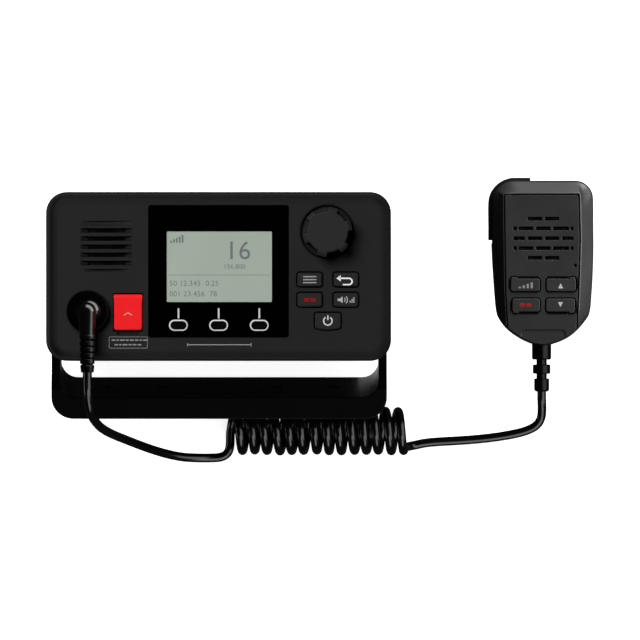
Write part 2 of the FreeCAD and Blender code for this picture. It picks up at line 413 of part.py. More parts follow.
# ================================================================ bracket
def bracket_shape():
    """Drawn straight, with its arms along -Y, then tilted about the pivot."""
    o, t, ai = BRACKET_OUT_X, BRACKET_ARM_T, ARM_IN_X
    bi, bo, hd = BRACKET_BASE_IN, BRACKET_BASE_OUT, BRACKET_HALF_DEPTH
    ro, ri = 11.5, 8.6
    zb = -hd

    def arc(c, r, a0, a1):
        pts = [V(c[0] + r * math.cos(math.radians(a)), c[1] + r * math.sin(math.radians(a)), zb) for a in (a0, (a0 + a1) / 2, a1)]
        return Part.Arc(*pts).toShape()

    def line(a, b):
        return Part.LineSegment(V(a[0], a[1], zb), V(b[0], b[1], zb)).toShape()

    top, j0, j1 = 14.5, -22.5, -34.5
    e = []
    e.append(line((ai, top), (ai + t, top)))
    e.append(line((ai + t, top), (ai + t, j0)))
    e.append(line((ai + t, j0), (o, j1)))
    e.append(line((o, j1), (o, -bo + ro)))
    e.append(arc((o - ro, -bo + ro), ro, 0, -90))
    e.append(line((o - ro, -bo), (-o + ro, -bo)))
    e.append(arc((-o + ro, -bo + ro), ro, -90, -180))
    e.append(line((-o, -bo + ro), (-o, j1)))
    e.append(line((-o, j1), (-ai - t, j0)))
    e.append(line((-ai - t, j0), (-ai - t, top)))
    e.append(line((-ai - t, top), (-ai, top)))
    e.append(line((-ai, top), (-ai, j0 - 1.0)))
    e.append(line((-ai, j0 - 1.0), (-o + t, j1 - 1.0)))
    e.append(line((-o + t, j1 - 1.0), (-o + t, -bi + ri)))
    e.append(arc((-o + t + ri, -bi + ri), ri, 180, 270))
    e.append(line((-o + t + ri, -bi), (o - t - ri, -bi)))
    e.append(arc((o - t - ri, -bi + ri), ri, 270, 360))
    e.append(line((o - t, -bi + ri), (o - t, j1 - 1.0)))
    e.append(line((o - t, j1 - 1.0), (ai, j0 - 1.0)))
    e.append(line((ai, j0 - 1.0), (ai, top)))
    strip = Part.Face(Part.Wire(e)).extrude(V(0, 0, 2 * hd))
    # side view: round ends at the pivot, straight arms, flared at the base
    r = BRACKET_END_R
    x_ = -100.0
    prof = [(-43.0, -r), (-47.0, -r - 1.2), (-56.0, -hd), (-bo, -hd), (-bo, hd), (-56.0, hd), (-47.0, r + 1.2), (-43.0, r), (0.0, r)]
    side = [Part.Arc(V(x_, 0, r), V(x_, r, 0), V(x_, 0, -r)).toShape(), Part.LineSegment(V(x_, 0, -r), V(x_, -43.0, -r)).toShape()]
    side += [Part.LineSegment(V(x_, *a), V(x_, *b)).toShape() for a, b in zip(prof, prof[1:])]
    mask = Part.Face(Part.Wire(side)).extrude(V(200, 0, 0))
    shape = strip.common(mask)
    # the base is cored out from below, with ribs between the screw bosses
    core = poly([(-74, -bo - 1, -hd + 3.4), (74, -bo - 1, -hd + 3.4), (74, -bo - 1, hd - 3.4), (-74, -bo - 1, hd - 3.4)], V(0, 1 + 7.4, 0))
    keep = [poly([(x - 8, -bo - 2, -hd), (x + 8, -bo - 2, -hd), (x + 8, -bo - 2, hd), (x - 8, -bo - 2, hd)], V(0, 12, 0)) for x in (-60, -30, 30, 60)]
    for k in keep:
        core = core.cut(k)
    core = core.cut(poly([(-80, -bo - 2, -1.2), (80, -bo - 2, -1.2), (80, -bo - 2, 1.2), (-80, -bo - 2, 1.2)], V(0, 12, 0)))
    shape = shape.cut(core)
    for x in (-60, -30, 30, 60):
        shape = shape.cut(cyly(x, -bo - 2, -bi + 2, 0, 2.75))
    shape = shape.cut(cylx(-100, 100, 0, 0, 3.08))
    # rounded long edges of the outer surface
    edges = []
    for ed in shape.Edges:
        b = ed.BoundBox
        if abs(abs(b.ZMin) - hd) < 1e-3 and abs(b.ZMax - b.ZMin) < 1e-3 and b.YMax < -48:
            edges.append(ed)
    try:
        soft = shape.makeFillet(0.7, edges)
        if soft.isValid() and soft.Volume > 0:
            shape = soft
    except Exception:
        print("no fillet on the bracket")
    shape.rotate(V(0, 0, 0), V(1, 0, 0), BRACKET_TILT)
    shape.translate(V(0, 0, PIVOT_Z))
    return shape


node("bracket", bracket_shape())
node("friction_washers", Part.makeCompound([
    cylx(73.0, 75.3, 0, PIVOT_Z, 11.0).cut(cylx(70, 80, 0, PIVOT_Z, 3.3)),
    cylx(-75.3, -73.0, 0, PIVOT_Z, 11.0).cut(cylx(-80, -70, 0, PIVOT_Z, 3.3)),
]))
for name, s in (("clamp_knob_right", 1), ("clamp_knob_left", -1)):
    k = cylx(80.3, 89.4, 0, PIVOT_Z, 10.4)
    lobes = []
    for i in range(8):
        a = math.radians(45 * i + 22.5)
        lobes.append(cylx(80.3, 88.2, 9.6 * math.cos(a), PIVOT_Z + 9.6 * math.sin(a), 2.4))
    k = fuse(k, *lobes)
    k = k.cut(cylx(88.6, 90.0, 0, PIVOT_Z, 7.4))
    k = fuse(k, cylx(62.0, 82.0, 0, PIVOT_Z, 3.0))
    if s < 0:
        k = k.mirror(V(0, 0, 0), V(1, 0, 0))
    node(name, k)


# ================================================================ hand microphone
MIC_CX = 170.4
RAW = [(143.5, 24.0), (143.6, 16.0), (144.1, 6.0), (144.8, -4.4), (145.4, -12.0), (146.1, -18.0), (146.75, -20.5), (147.95, -22.8), (149.3, -24.7), (151.8, -27.6), (155.2, -30.3), (159.0, -32.7), (163.0, -34.6), (167.0, -35.9), (170.6, -36.3), (174.2, -35.8), (178.0, -34.7), (181.6, -33.2), (184.6, -31.5), (188.1, -28.7), (190.9, -25.7), (193.1, -22.9), (194.7, -20.4), (195.4, -18.2), (196.1, -12.0), (196.7, -3.0), (197.1, 6.0), (197.3, 17.8), (197.2, 29.0)]


def outline():
    """The closed outline, anticlockwise from the left side's middle, evenly spaced."""
    pts = list(RAW)
    for a in range(0, 91, 9):
        pts.append((187.6 + 9.5 * math.cos(math.radians(a)), 41.4 + 9.5 * math.sin(math.radians(a))))
    for x in (182.0, 176.0, 170.0, 164.0, 160.0):
        pts.append((x, 50.9))
    for a in range(90, 181, 9):
        pts.append((155.5 + 12.0 * math.cos(math.radians(a)), 38.9 + 12.0 * math.sin(math.radians(a))))
    curve = Part.BSplineCurve()
    curve.interpolate(Points=[V(x, y, 0) for x, y in pts], PeriodicFlag=True)
    dense = curve.discretize(Number=1441)[:-1]
    return dense


DENSE = outline()
ND = len(DENSE)


def offset_points(inset, step=16):
    out = []
    for i in range(0, ND, step):
        p = DENSE[i]
        t = DENSE[(i + 4) % ND] - DENSE[(i - 4) % ND]
        t.normalize()
        out.append(V(p.x - t.y * inset, p.y + t.x * inset, 0))
    return out


def loop(inset, z):
    pts = [V(p.x, p.y, z) for p in offset_points(inset)]
    c = Part.BSplineCurve()
    c.interpolate(Points=pts, PeriodicFlag=True)
    return Part.Wire(c.toShape())


def tiers(levels):
    """A solid through outline loops: levels are (inset, z), lowest first."""
    return Part.makeLoft([loop(i, z) for i, z in levels], True, True)


FLAT_LEFT = ((149.35, 50.0), (149.5, 43.9), (150.25, -9.0), (151.3, -27.3), (152.4, -45.0))
FLAT_RIGHT = ((189.7, 50.0), (189.9, 43.9), (190.5, 20.0), (189.6, -9.0), (188.8, -27.3), (188.0, -45.0))
FLAT_TOP = 43.9
FLAT_RUN_OUT = 0.9


def edge_x(line, y):
    for (xa, ya), (xb, yb) in zip(line, line[1:]):
        if ya >= y >= yb:
            return xa + (xb - xa) * (ya - y) / (ya - yb)
    return line[0][0] if y > line[0][1] else line[-1][0]


def to_flat(p, n):
    """How far from p along the inward normal n the flat of the front begins."""
    d = FLAT_RUN_OUT
    while d < 14.0:
        x, y = p.x + n.x * d, p.y + n.y * d
        if edge_x(FLAT_LEFT, y) <= x <= edge_x(FLAT_RIGHT, y) and y <= FLAT_TOP:
            return d
        d += 0.02
    return d


def flat_loop(share, z, step=12):
    pts = []
    for i in range(0, ND, step):
        p = DENSE[i]
        t = DENSE[(i + 4) % ND] - DENSE[(i - 4) % ND]
        t.normalize()
        n = V(-t.y, t.x, 0)
        d = to_flat(p, n) * share
        pts.append(V(p.x + n.x * d, p.y + n.y * d, z))
    c = Part.BSplineCurve()
    c.interpolate(Points=pts, PeriodicFlag=True)
    return Part.Wire(c.toShape())


def band(d0, d1, i0, i1, z0, z1):
    """A strip along the outline between two insets, from dense index i0 to i1."""
    a, b = [], []
    for i in range(i0, i1 + 1, 8):
        p = DENSE[i % ND]
        t = DENSE[(i + 4) % ND] - DENSE[(i - 4) % ND]
        t.normalize()
        a.append(V(p.x - t.y * d0, p.y + t.x * d0, z0))
        b.append(V(p.x - t.y * d1, p.y + t.x * d1, z0))
    ca, cb = Part.BSplineCurve(), Part.BSplineCurve()
    ca.interpolate(Points=a)
    cb.interpolate(Points=b)
    w = Part.Wire([ca.toShape(), Part.LineSegment(a[-1], b[-1]).toShape(), cb.toShape(), Part.LineSegment(b[0], a[0]).toShape()])
    return Part.Face(w).extrude(V(0, 0, z1 - z0))


def nearest(x, y):
    return min(range(ND), key=lambda i: (DENSE[i].x - x) ** 2 + (DENSE[i].y - y) ** 2)


MIC_SPLIT, MIC_TOP = 17.0, 30.5
i_top = nearest(164.0, 50.9)
i_low = nearest(143.55, 19.6)
if i_low < i_top:
    i_low += ND
step_mm = 285.0 / ND
lever_z0, lever_z1 = 8.0, 23.0
zone = band(-3.0, 6.0, i_top - 20, i_low + 30, lever_z0 - 2.6, lever_z1 + 2.6)
notch = band(-3.0, 3.4, i_top - 6, i_low + 10, lever_z0 - 0.4, lever_z1 + 0.4)
PTT = (161.6, 48.4)
ptt_hole = cyl(PTT[0], PTT[1], lever_z0 - 0.4, lever_z1 + 0.4, 2.3)

MIC_SCREWS = [(158.5, -25.5), (182.0, -25.5), (156.0, 38.5), (186.5, 38.5)]
RELIEF_Z = 9.5
rear = tiers([(5.0, 5.0), (0.9, 9.0), (0.0, 11.5), (0.0, MIC_SPLIT)])
cav = tiers([(8.0, 7.4), (2.6, 11.8), (2.6, MIC_SPLIT + 1)])
cav = cut(cav, zone, *[cyl(x, y, 0, 20, 3.1) for x, y in MIC_SCREWS])
rear = rear.cut(cav)
swell = Part.makeLoft([
    Part.Wire(Part.Ellipse(V(170.2, -6.0, 0.25), 17.5, 12.5).toShape()),
    Part.Wire(Part.Ellipse(V(170.2, -6.0, 1.4), 21.0, 15.5).toShape()),
    Part.Wire(Part.Ellipse(V(170.2, -6.0, 5.4), 24.5, 18.0).toShape()),
], True, True)
swell.rotate(V(170.2, -6.0, 0), V(0, 0, 1), 90)
rear = fuse(rear, swell)
rear = cut(rear, notch, ptt_hole, cyl(PTT[0], PTT[1], lever_z0 - 2.0, lever_z1, 0.9), cyly(170.3, -45.0, -30.0, RELIEF_Z, 5.1))
for x, y in MIC_SCREWS:
    rear = cut(rear, cyl(x, y, 0, 6.9, 2.6), cyl(x, y, 0, 20, 1.4))
rear = rear.cut(cyl(170.2, 28.0, 0, 9.0, 3.0))
node("mic_rear_shell", rear)

front = Part.makeLoft([flat_loop(k, z) for k, z in ((0.0, MIC_SPLIT), (0.0, 23.2), (0.12, 24.8), (0.92, 30.2), (1.0, MIC_TOP))], True, True)
cav = tiers([(2.6, MIC_SPLIT - 1), (2.6, 23.0), (7.8, 28.3)])
cav = cut(cav, zone, *[cyl(x, y, 0, 40, 3.1) for x, y in MIC_SCREWS])
front = front.cut(cav)
cuts = [notch, ptt_hole, cyl(PTT[0], PTT[1], lever_z0, lever_z1 + 2.2, 0.9)]
cuts += [cyl(x, y, 16.0, 26.5, 1.2) for x, y in MIC_SCREWS]
def flat_prism(inset, z0, z1):
    """The flat's three edges moved in by inset, run out below the shell."""
    left = [(x + inset, min(y, FLAT_TOP - inset)) for x, y in FLAT_LEFT[1:]]
    right = [(x - inset, min(y, FLAT_TOP - inset)) for x, y in FLAT_RIGHT[1:]]
    r = 0.8
    top_l, top_r = left[0], right[0]
    ring = [(top_l[0] + r, top_l[1]), (top_l[0] + 0.3 * r, top_l[1] - 0.3 * r), (top_l[0], top_l[1] - r)] + left[1:] + right[:0:-1] + [(top_r[0], top_r[1] - r), (top_r[0] - 0.3 * r, top_r[1] - 0.3 * r), (top_r[0] - r, top_r[1])]
    return poly([(x, y, z0) for x, y in ring], V(0, 0, z1 - z0))


cuts.append(flat_prism(0.1, 29.3, 32.0).cut(flat_prism(0.9, 29.0, 33.0)))
ROWS = {
    30.6: ((162.4, 169.95), (171.4, 178.9)),
    25.5: ((154.6, 156.7), (157.5, 165.3), (166.7, 174.4), (175.7, 184.1), (184.8, 186.5)),
    20.3: ((154.85, 160.8), (162.4, 169.95), (171.4, 178.9), (180.55, 186.5)),
    15.06: ((154.6, 156.7), (157.5, 165.3), (166.7, 174.4), (175.7, 184.1), (184.8, 186.5)),
    10.0: ((162.4, 169.95), (171.4, 178.9)),
}
for y, spans in ROWS.items():
    for a, b in spans:
        deep = 27.0 if b - a > 4 else 29.2
        cuts.append(rbox((a + b) / 2, y, b - a, 2.0, 0.5, deep, 32.0))
cuts.append(cyl(187.4, 6.0, 27.0, 32.0, 0.9))
cuts.append(rbox(170.7, -37.8, 23.4, 20.0, 2.2, 30.15, 32.0))
MKEYS = {
    "mic_power_level_key": (153.0, 169.1, -8.4, -0.15, -1, 1),
    "mic_up_key": (171.75, 188.1, -8.4, -0.15, 1, 1),
    "mic_priority_key": (153.8, 169.1, -19.15, -10.7, -1, -1),
    "mic_down_key": (171.6, 187.6, -19.15, -10.7, 1, -1),
}


def mic_key(spec, grow, z0, z1):
    a, b, c, d, sx_, sy_ = spec
    body = rbox((a + b) / 2, (c + d) / 2, b - a - 0.7 + 2 * grow, d - c - 1.5 + 2 * grow, 1.2 + grow, z0, z1)
    ex = (a + 2.2) if sx_ < 0 else (b - 2.2)
    ey = (d - 0.85) if sy_ > 0 else (c + 0.85)
    ear = rbox(ex, ey, 3.0 + 2 * grow, 1.7 + 2 * grow, 0.4 + grow, z0, z1)
    return fuse(body, ear)


for spec in MKEYS.values():
    cuts.append(mic_key(spec, 0.62, 27.0, 33.0))
front = cut(front, *cuts)
node("mic_front_shell", front)
for name, spec in MKEYS.items():
    cap = mic_key(spec, 0.0, 27.4, 31.2)
    cap = soften(cap, 31.2, 0.45)
    a, b, c, d, _, _ = spec
    node(name, fuse(cap, rbox((a + b) / 2, (c + d) / 2, b - a - 0.1, d - c - 0.1, 3.5, 25.9, 27.5)))

lever = band(-1.5, 1.1, i_top, i_low, lever_z0, lever_z1)
lever = fuse(lever, cyl(PTT[0], PTT[1], lever_z0, lever_z1, 1.9))
lever = fuse(lever, box(PTT[0] - 1.6, PTT[0] + 1.6, PTT[1], 50.6, lever_z0, lever_z1))
lever = lever.cut(cyl(PTT[0], PTT[1], 0, 40, 0.96))
node("mic_ptt_lever", lever)
node("ptt_pivot_pin", cyl(PTT[0], PTT[1], lever_z0 - 2.0, lever_z1 + 2.2, 0.9))
mic_pcb = rbox(170.2, 9.0, 36.0, 68.0, 6.0, 19.0, 20.6)
node("mic_pcb", fuse(cut(mic_pcb, *[cyl(x, y, 18, 22, 3.6) for x, y in MIC_SCREWS]), box(160, 180, -18, -4, 20.6, 22.4)))
node("ptt_switch", fuse(box(153.2, 159.0, 24.0, 31.0, 20.6, 24.6), box(151.6, 153.4, 26.2, 28.8, 21.4, 23.8)))
node("mic_speaker", fuse(cyl(170.3, 20.3, 25.0, 28.2, 13.0), cyl(170.3, 20.3, 21.0, 25.4, 8.0)).cut(cyl(170.3, 20.3, 26.6, 30.0, 11.6)))
node("mic_capsule", cyl(187.2, 6.0, 23.4, 28.2, 1.9))
node("mic_screws", Part.makeCompound([fuse(cyl(x, y, 5.2, 6.9, 2.4), cyl(x, y, 6.5, 26.0, 1.2)) for x, y in MIC_SCREWS]))
stud = fuse(cyl(170.2, 28.0, 0.25, 2.6, 6.4), cyl(170.2, 28.0, 2.0, 5.0, 3.6), cyl(170.2, 28.0, 4.0, 5.0, 7.6), cyl(170.2, 28.0, 4.5, 9.0, 3.0))
stud = soften(stud, 0.25, 0.8)
node("hang_stud", stud)
mr = [(-30.5, 5.1), (-43.0, 5.1), (-43.7, 4.5), (-43.7, 2.75), (-46.3, 2.75), (-46.3, 4.3), (-46.7, 4.65), (-50.8, 4.65), (-51.2, 4.3), (-51.2, 2.75), (-53.7, 2.75), (-53.7, 3.7), (-54.1, 4.0), (-59.8, 4.0), (-60.65, 3.1)]
prof = [V(0, -30.5, 0)] + [V(r, y, 0) for y, r in mr] + [V(0, -60.65, 0)]
relief = Part.Face(Part.makePolygon(prof + [prof[0]])).revolve(V(0, 0, 0), V(0, 1, 0), 360)
relief.translate(V(170.3, 0, RELIEF_Z))
node("mic_strain_relief", relief)

# ================================================================ cord
LEAD_RADIO = [
    (-67.9, -50.0, 90.0), (-67.9, -55.6, 89.9), (-67.8, -62.0, 88.4), (-67.1, -68.6, 84.6), (-65.3, -74.0, 78.6),
    (-62.6, -78.1, 71.2), (-59.0, -81.4, 62.8), (-54.8, -84.2, 53.8), (-49.8, -86.8, 44.2), (-43.9, -89.4, 34.4),
    (-37.0, -91.8, 24.8), (-29.0, -94.0, 15.9), (-20.4, -95.5, 8.6), (-12.4, -96.1, 4.4), (-6.4, -95.2, 3.2),
    (-2.4, -92.4, 3.2), (-0.2, -89.4, 4.1), (1.9, -87.8, 5.1), (4.0, -87.8, 5.2),
]
LEAD_MIC = [
    (170.3, -60.65, 9.5), (170.35, -64.4, 9.4), (170.5, -68.2, 8.0), (170.6, -71.9, 5.6), (170.1, -75.3, 3.6),
    (168.2, -78.4, 2.75), (164.6, -80.7, 2.5), (159.2, -82.5, 2.55), (152.0, -84.0, 2.5), (143.0, -85.3, 2.55),
    (133.0, -86.3, 2.5), (123.0, -87.0, 2.55), (114.0, -87.4, 2.6), (107.4, -87.5, 3.2), (102.4, -87.35, 4.5), (99.0, -87.3, 4.9),
]
node("cord_lead_radio", tube("cord_lead_radio", LEAD_RADIO, CORD_R))
node("cord_lead_mic", tube("cord_lead_mic", LEAD_MIC, CORD_R))
node("cord_coil", cylx(COIL_X0, COIL_X1, COIL_C[0], COIL_C[1], COIL_R))

# ================================================================ export
for name, shape in NODES.items():
    ok = shape.isValid()
    solids = shape.Solids
    if len(solids) == 1:
        shape = solids[0]
    if not ok or not solids or shape.Volume <= 0:
        print("CHECK", name, "valid", ok, "solids", len(solids), "volume", shape.Volume)
    if len(solids) > 1 and name not in ("heat_sink_screws", "pcb_screws", "case_screws", "threaded_inserts", "friction_washers", "cable_glands", "mic_screws"):
        print("CHECK", name, "has", len(solids), "solids")
    shape.exportStep("parts/%s.step" % name)
print(len(NODES), "nodes")
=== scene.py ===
import json
import math

import bmesh
import bpy
from mathutils import Matrix, Vector

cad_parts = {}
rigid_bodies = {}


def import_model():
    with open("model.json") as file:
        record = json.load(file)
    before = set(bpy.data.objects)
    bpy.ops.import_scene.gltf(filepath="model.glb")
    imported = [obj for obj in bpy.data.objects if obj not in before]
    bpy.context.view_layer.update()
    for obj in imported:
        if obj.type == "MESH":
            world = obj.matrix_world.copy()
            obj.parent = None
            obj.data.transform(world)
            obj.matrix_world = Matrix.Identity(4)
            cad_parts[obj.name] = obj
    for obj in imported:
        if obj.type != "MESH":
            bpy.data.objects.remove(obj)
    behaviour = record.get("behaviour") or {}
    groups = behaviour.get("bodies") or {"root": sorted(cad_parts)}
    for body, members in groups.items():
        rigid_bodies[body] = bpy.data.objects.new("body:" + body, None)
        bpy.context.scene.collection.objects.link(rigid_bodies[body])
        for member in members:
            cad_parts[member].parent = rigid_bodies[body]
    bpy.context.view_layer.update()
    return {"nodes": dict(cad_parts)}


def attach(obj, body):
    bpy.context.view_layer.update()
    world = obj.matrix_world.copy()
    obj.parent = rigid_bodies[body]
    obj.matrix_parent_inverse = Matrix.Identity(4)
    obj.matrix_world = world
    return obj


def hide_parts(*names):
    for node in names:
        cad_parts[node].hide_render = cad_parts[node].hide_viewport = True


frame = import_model()
NODES = frame["nodes"]
MM = 0.001
scene = bpy.context.scene

# ------------------------------------------------------------------ camera
# Straight above the set, which lies on its back; long lens, so the depths hardly change the sizes.
FACE_Z, CAM_UP, VIEW_MM = 78.0, 4000.0, 333.3
cam_data = bpy.data.cameras.new("camera")
cam_data.sensor_fit = "HORIZONTAL"
cam_data.sensor_width = 36.0
cam_data.lens = 36.0 * CAM_UP / VIEW_MM
cam_data.clip_start = 0.1
cam_data.clip_end = 30.0
camera = bpy.data.objects.new("camera", cam_data)
camera.location = (52.92 * MM, -22.72 * MM, (FACE_Z + CAM_UP) * MM)
camera.rotation_euler = (0.0, 0.0, 0.0)
scene.collection.objects.link(camera)
scene.camera = camera
scene.view_settings.view_transform = "Standard"
scene.view_settings.look = "None"
scene.view_settings.exposure = 0.0
scene.view_settings.gamma = 1.0


# ------------------------------------------------------------------ materials
def tree(name):
    m = bpy.data.materials.new(name)
    m.use_nodes = True
    nt = m.node_tree
    nt.nodes.clear()
    out = nt.nodes.new("ShaderNodeOutputMaterial")
    return m, nt, out


def link(nt, a, b):
    nt.links.new(a, b)


def principled(nt, out, color, rough, metallic=0.0, spec=0.5, coat=0.0, coat_rough=0.1, ior=1.5, sheen=0.0):
    p = nt.nodes.new("ShaderNodeBsdfPrincipled")
    p.inputs["Base Color"].default_value = (*color, 1.0)
    p.inputs["Roughness"].default_value = rough
    p.inputs["Metallic"].default_value = metallic
    p.inputs["IOR"].default_value = ior
    p.inputs["Specular IOR Level"].default_value = spec
    p.inputs["Coat Weight"].default_value = coat
    p.inputs["Coat Roughness"].default_value = coat_rough
    p.inputs["Sheen Weight"].default_value = sheen
    link(nt, p.outputs[0], out.inputs["Surface"])
    return p


def coords(nt, scale=(1, 1, 1)):
    tc = nt.nodes.new("ShaderNodeTexCoord")
    mp = nt.nodes.new("ShaderNodeMapping")
    mp.inputs["Scale"].default_value = scale
    link(nt, tc.outputs["Object"], mp.inputs["Vector"])
    return mp.outputs["Vector"]


def noise(nt, vec, scale, detail=3.0, rough=0.5):
    n = nt.nodes.new("ShaderNodeTexNoise")
    n.inputs["Scale"].default_value = scale
    n.inputs["Detail"].default_value = detail
    n.inputs["Roughness"].default_value = rough
    link(nt, vec, n.inputs["Vector"])
    return n.outputs["Fac"]


def ramp(nt, fac, stops):
    r = nt.nodes.new("ShaderNodeValToRGB")
    el = r.color_ramp.elements
    while len(el) < len(stops):
        el.new(0.5)
    for e, (pos, col) in zip(el, stops):
        e.position = pos
        e.color = (*col, 1.0) if len(col) == 3 else col
    link(nt, fac, r.inputs["Fac"])
    return r.outputs["Color"]


def remap(nt, fac, lo, hi, a=0.3, b=0.7):
    m = nt.nodes.new("ShaderNodeMapRange")
    m.inputs["From Min"].default_value = a
    m.inputs["From Max"].default_value = b
    m.inputs["To Min"].default_value = lo
    m.inputs["To Max"].default_value = hi
    link(nt, fac, m.inputs["Value"])
    return m.outputs["Result"]


def math_node(nt, op, a, b=None, c=None, clamp=False):
    m = nt.nodes.new("ShaderNodeMath")
    m.operation = op
    m.use_clamp = clamp
    for i, v in enumerate((a, b, c)):
        if v is None:
            continue
        if isinstance(v, (int, float)):
            m.inputs[i].default_value = v
        else:
            link(nt, v, m.inputs[i])
    return m.outputs[0]


def bump(nt, height, strength, distance, normal=None):
    b = nt.nodes.new("ShaderNodeBump")
    b.inputs["Strength"].default_value = strength
    b.inputs["Distance"].default_value = distance
    link(nt, height, b.inputs["Height"])
    if normal is not None:
        link(nt, normal, b.inputs["Normal"])
    return b.outputs["Normal"]


def edge_round(nt, radius):
    b = nt.nodes.new("ShaderNodeBevel")
    b.samples = 6
    b.inputs["Radius"].default_value = radius
    return b.outputs["Normal"]


def shade(c, k):
    return tuple(min(1.0, max(0.0, x * k)) for x in c)


def moulded(name, color, rough, rough2, grain=3200.0, depth=0.00003, strength=0.25, blotch=45.0, edge=0.00025, spec=0.5, coat=0.0, tint=0.12, painted_gap_shade=0.0, floor=0.15, painted_shade=None, soft_end=None):
    """Moulded plastic: a fine spark-eroded grain, slightly uneven gloss and colour, softened edges, and painted shade
    darkening narrow gaps and crevices (an ambient-occlusion mask on the base colour).
    """
    m, nt, out = tree(name)
    v = coords(nt)
    p = principled(nt, out, color, rough, spec=spec * 0.92 if painted_gap_shade else spec, coat=coat)
    soft = noise(nt, v, blotch, 4.0, 0.6)
    fine = noise(nt, v, grain, 2.0, 0.55)
    base = ramp(nt, soft, [(0.25, shade(color, 1 - tint)), (0.75, shade(color, 1 + tint))])
    # painted shade: ambient occlusion darkens the base colour in gaps, grooves and crevices, down to the share given by
    # floor
    if painted_gap_shade:
        ao = nt.nodes.new("ShaderNodeAmbientOcclusion")
        ao.samples = 12
        ao.inputs["Distance"].default_value = painted_gap_shade
        unshaded_share = remap(nt, ao.outputs["AO"], floor, 1.0, 0.35, 0.92)
        # painted shade band inside the panel's edge, multiplied into the base colour
        if painted_shade:
            unshaded_share = math_node(nt, "MULTIPLY", unshaded_share, painted_shade(nt, v))
        mix = nt.nodes.new("ShaderNodeMix")
        mix.data_type = "RGBA"
        mix.blend_type = "MULTIPLY"
        mix.inputs["Factor"].default_value = 1.0
        link(nt, base, mix.inputs["A"])
        link(nt, unshaded_share, mix.inputs["B"])
        link(nt, mix.outputs["Result"], p.inputs["Base Color"])
    else:
        link(nt, base, p.inputs["Base Color"])
    gloss = remap(nt, soft, rough, rough2)
    if soft_end:
        dull = soft_end(nt, v)
        gloss = math_node(nt, "MULTIPLY_ADD", dull, 0.14, gloss)
        link(nt, math_node(nt, "MULTIPLY_ADD", dull, -0.62 * spec, spec), p.inputs["Specular IOR Level"])
    link(nt, gloss, p.inputs["Roughness"])
    n = edge_round(nt, edge) if edge else None
    link(nt, bump(nt, fine, strength, depth, n), p.inputs["Normal"])
    return m


def painted_rim_shade(nt, v):
    """Painted shade in a band about 1 to 7 mm inside the front panel's edge, strongest on the left, weaker along the
    top and faint elsewhere: a factor that darkens the base colour.
    """
    sep = nt.nodes.new("ShaderNodeSeparateXYZ")
    link(nt, v, sep.inputs[0])
    qx = math_node(nt, "SUBTRACT", math_node(nt, "ABSOLUTE", sep.outputs["X"]), 0.079)
    qy = math_node(nt, "SUBTRACT", math_node(nt, "ABSOLUTE", sep.outputs["Y"]), 0.0331)
    ox, oy = math_node(nt, "MAXIMUM", qx, 0.0), math_node(nt, "MAXIMUM", qy, 0.0)
    out = math_node(nt, "SQRT", math_node(nt, "ADD", math_node(nt, "MULTIPLY", ox, ox), math_node(nt, "MULTIPLY", oy, oy)))
    inn = math_node(nt, "MINIMUM", math_node(nt, "MAXIMUM", qx, qy), 0.0)
    t = math_node(nt, "SUBTRACT", 0.011, math_node(nt, "ADD", out, inn))
    rise = remap(nt, t, 0.0, 1.0, 0.0010, 0.0024)
    fall = remap(nt, t, 1.0, 0.0, 0.0040, 0.0068)
    left = remap(nt, sep.outputs["X"], 0.80, 0.0, -0.0840, -0.0760)
    top = remap(nt, sep.outputs["Y"], 0.0, 0.45, 0.0300, 0.0390)
    side = math_node(nt, "MAXIMUM", math_node(nt, "MAXIMUM", left, top), 0.10)
    return math_node(nt, "SUBTRACT", 1.0, math_node(nt, "MULTIPLY", math_node(nt, "MULTIPLY", rise, fall), side))


def sleeve_end(nt, v):
    """The ribbed end of the plug is softer, duller rubber than its head."""
    sep = nt.nodes.new("ShaderNodeSeparateXYZ")
    link(nt, v, sep.inputs[0])
    return remap(nt, sep.outputs["Y"], 1.0, 0.0, -0.0320, -0.0295)


def metal(name, color, rough, brushed=None, grain=1500.0, metallic=1.0):
    m, nt, out = tree(name)
    v = coords(nt, brushed or (1, 1, 1))
    p = principled(nt, out, color, rough, metallic=metallic)
    f = noise(nt, v, grain, 3.0)
    big = noise(nt, v, 120.0, 3.0)
    link(nt, ramp(nt, big, [(0.3, shade(color, 0.88)), (0.7, shade(color, 1.08))]), p.inputs["Base Color"])
    link(nt, remap(nt, f, rough * 0.8, rough * 1.3), p.inputs["Roughness"])
    link(nt, bump(nt, f, 0.15, 0.00002, edge_round(nt, 0.00015)), p.inputs["Normal"])
    return m


M = {}
# the panel's base colour carries painted gap shade and a painted shade band inside its edge
M["panel"] = moulded("panel_plastic", (0.0145, 0.0148, 0.0152), 0.50, 0.58, grain=2600, depth=0.00003, strength=0.3, edge=0.0003, spec=0.052, painted_gap_shade=0.0014, painted_shade=painted_rim_shade)
M["case"] = moulded("case_paint", (0.030, 0.0305, 0.0315), 0.42, 0.55, grain=1900, depth=0.00004, strength=0.4, spec=0.4)
M["sink"] = moulded("heat_sink_metal", (0.032, 0.0325, 0.0335), 0.34, 0.46, grain=2400, depth=0.00002, strength=0.3, spec=0.45)
M["bracket"] = moulded("bracket_plastic", (0.0048, 0.0048, 0.0051), 0.46, 0.54, grain=2300, depth=0.00003, strength=0.3, edge=0.0004, spec=0.10)
M["rubber"] = moulded("black_rubber", (0.008, 0.008, 0.0082), 0.5, 0.62, grain=1700, depth=0.00003, strength=0.3, spec=0.3)
M["cord"] = moulded("cord_rubber", (0.0009, 0.0009, 0.0010), 0.15, 0.20, grain=900, depth=0.00003, strength=0.2, blotch=90, edge=0, spec=0.62)
M["relief"] = moulded("relief_rubber", (0.0013, 0.0013, 0.0014), 0.21, 0.29, grain=1400, depth=0.00003, strength=0.25, spec=0.24, painted_gap_shade=0.0012)
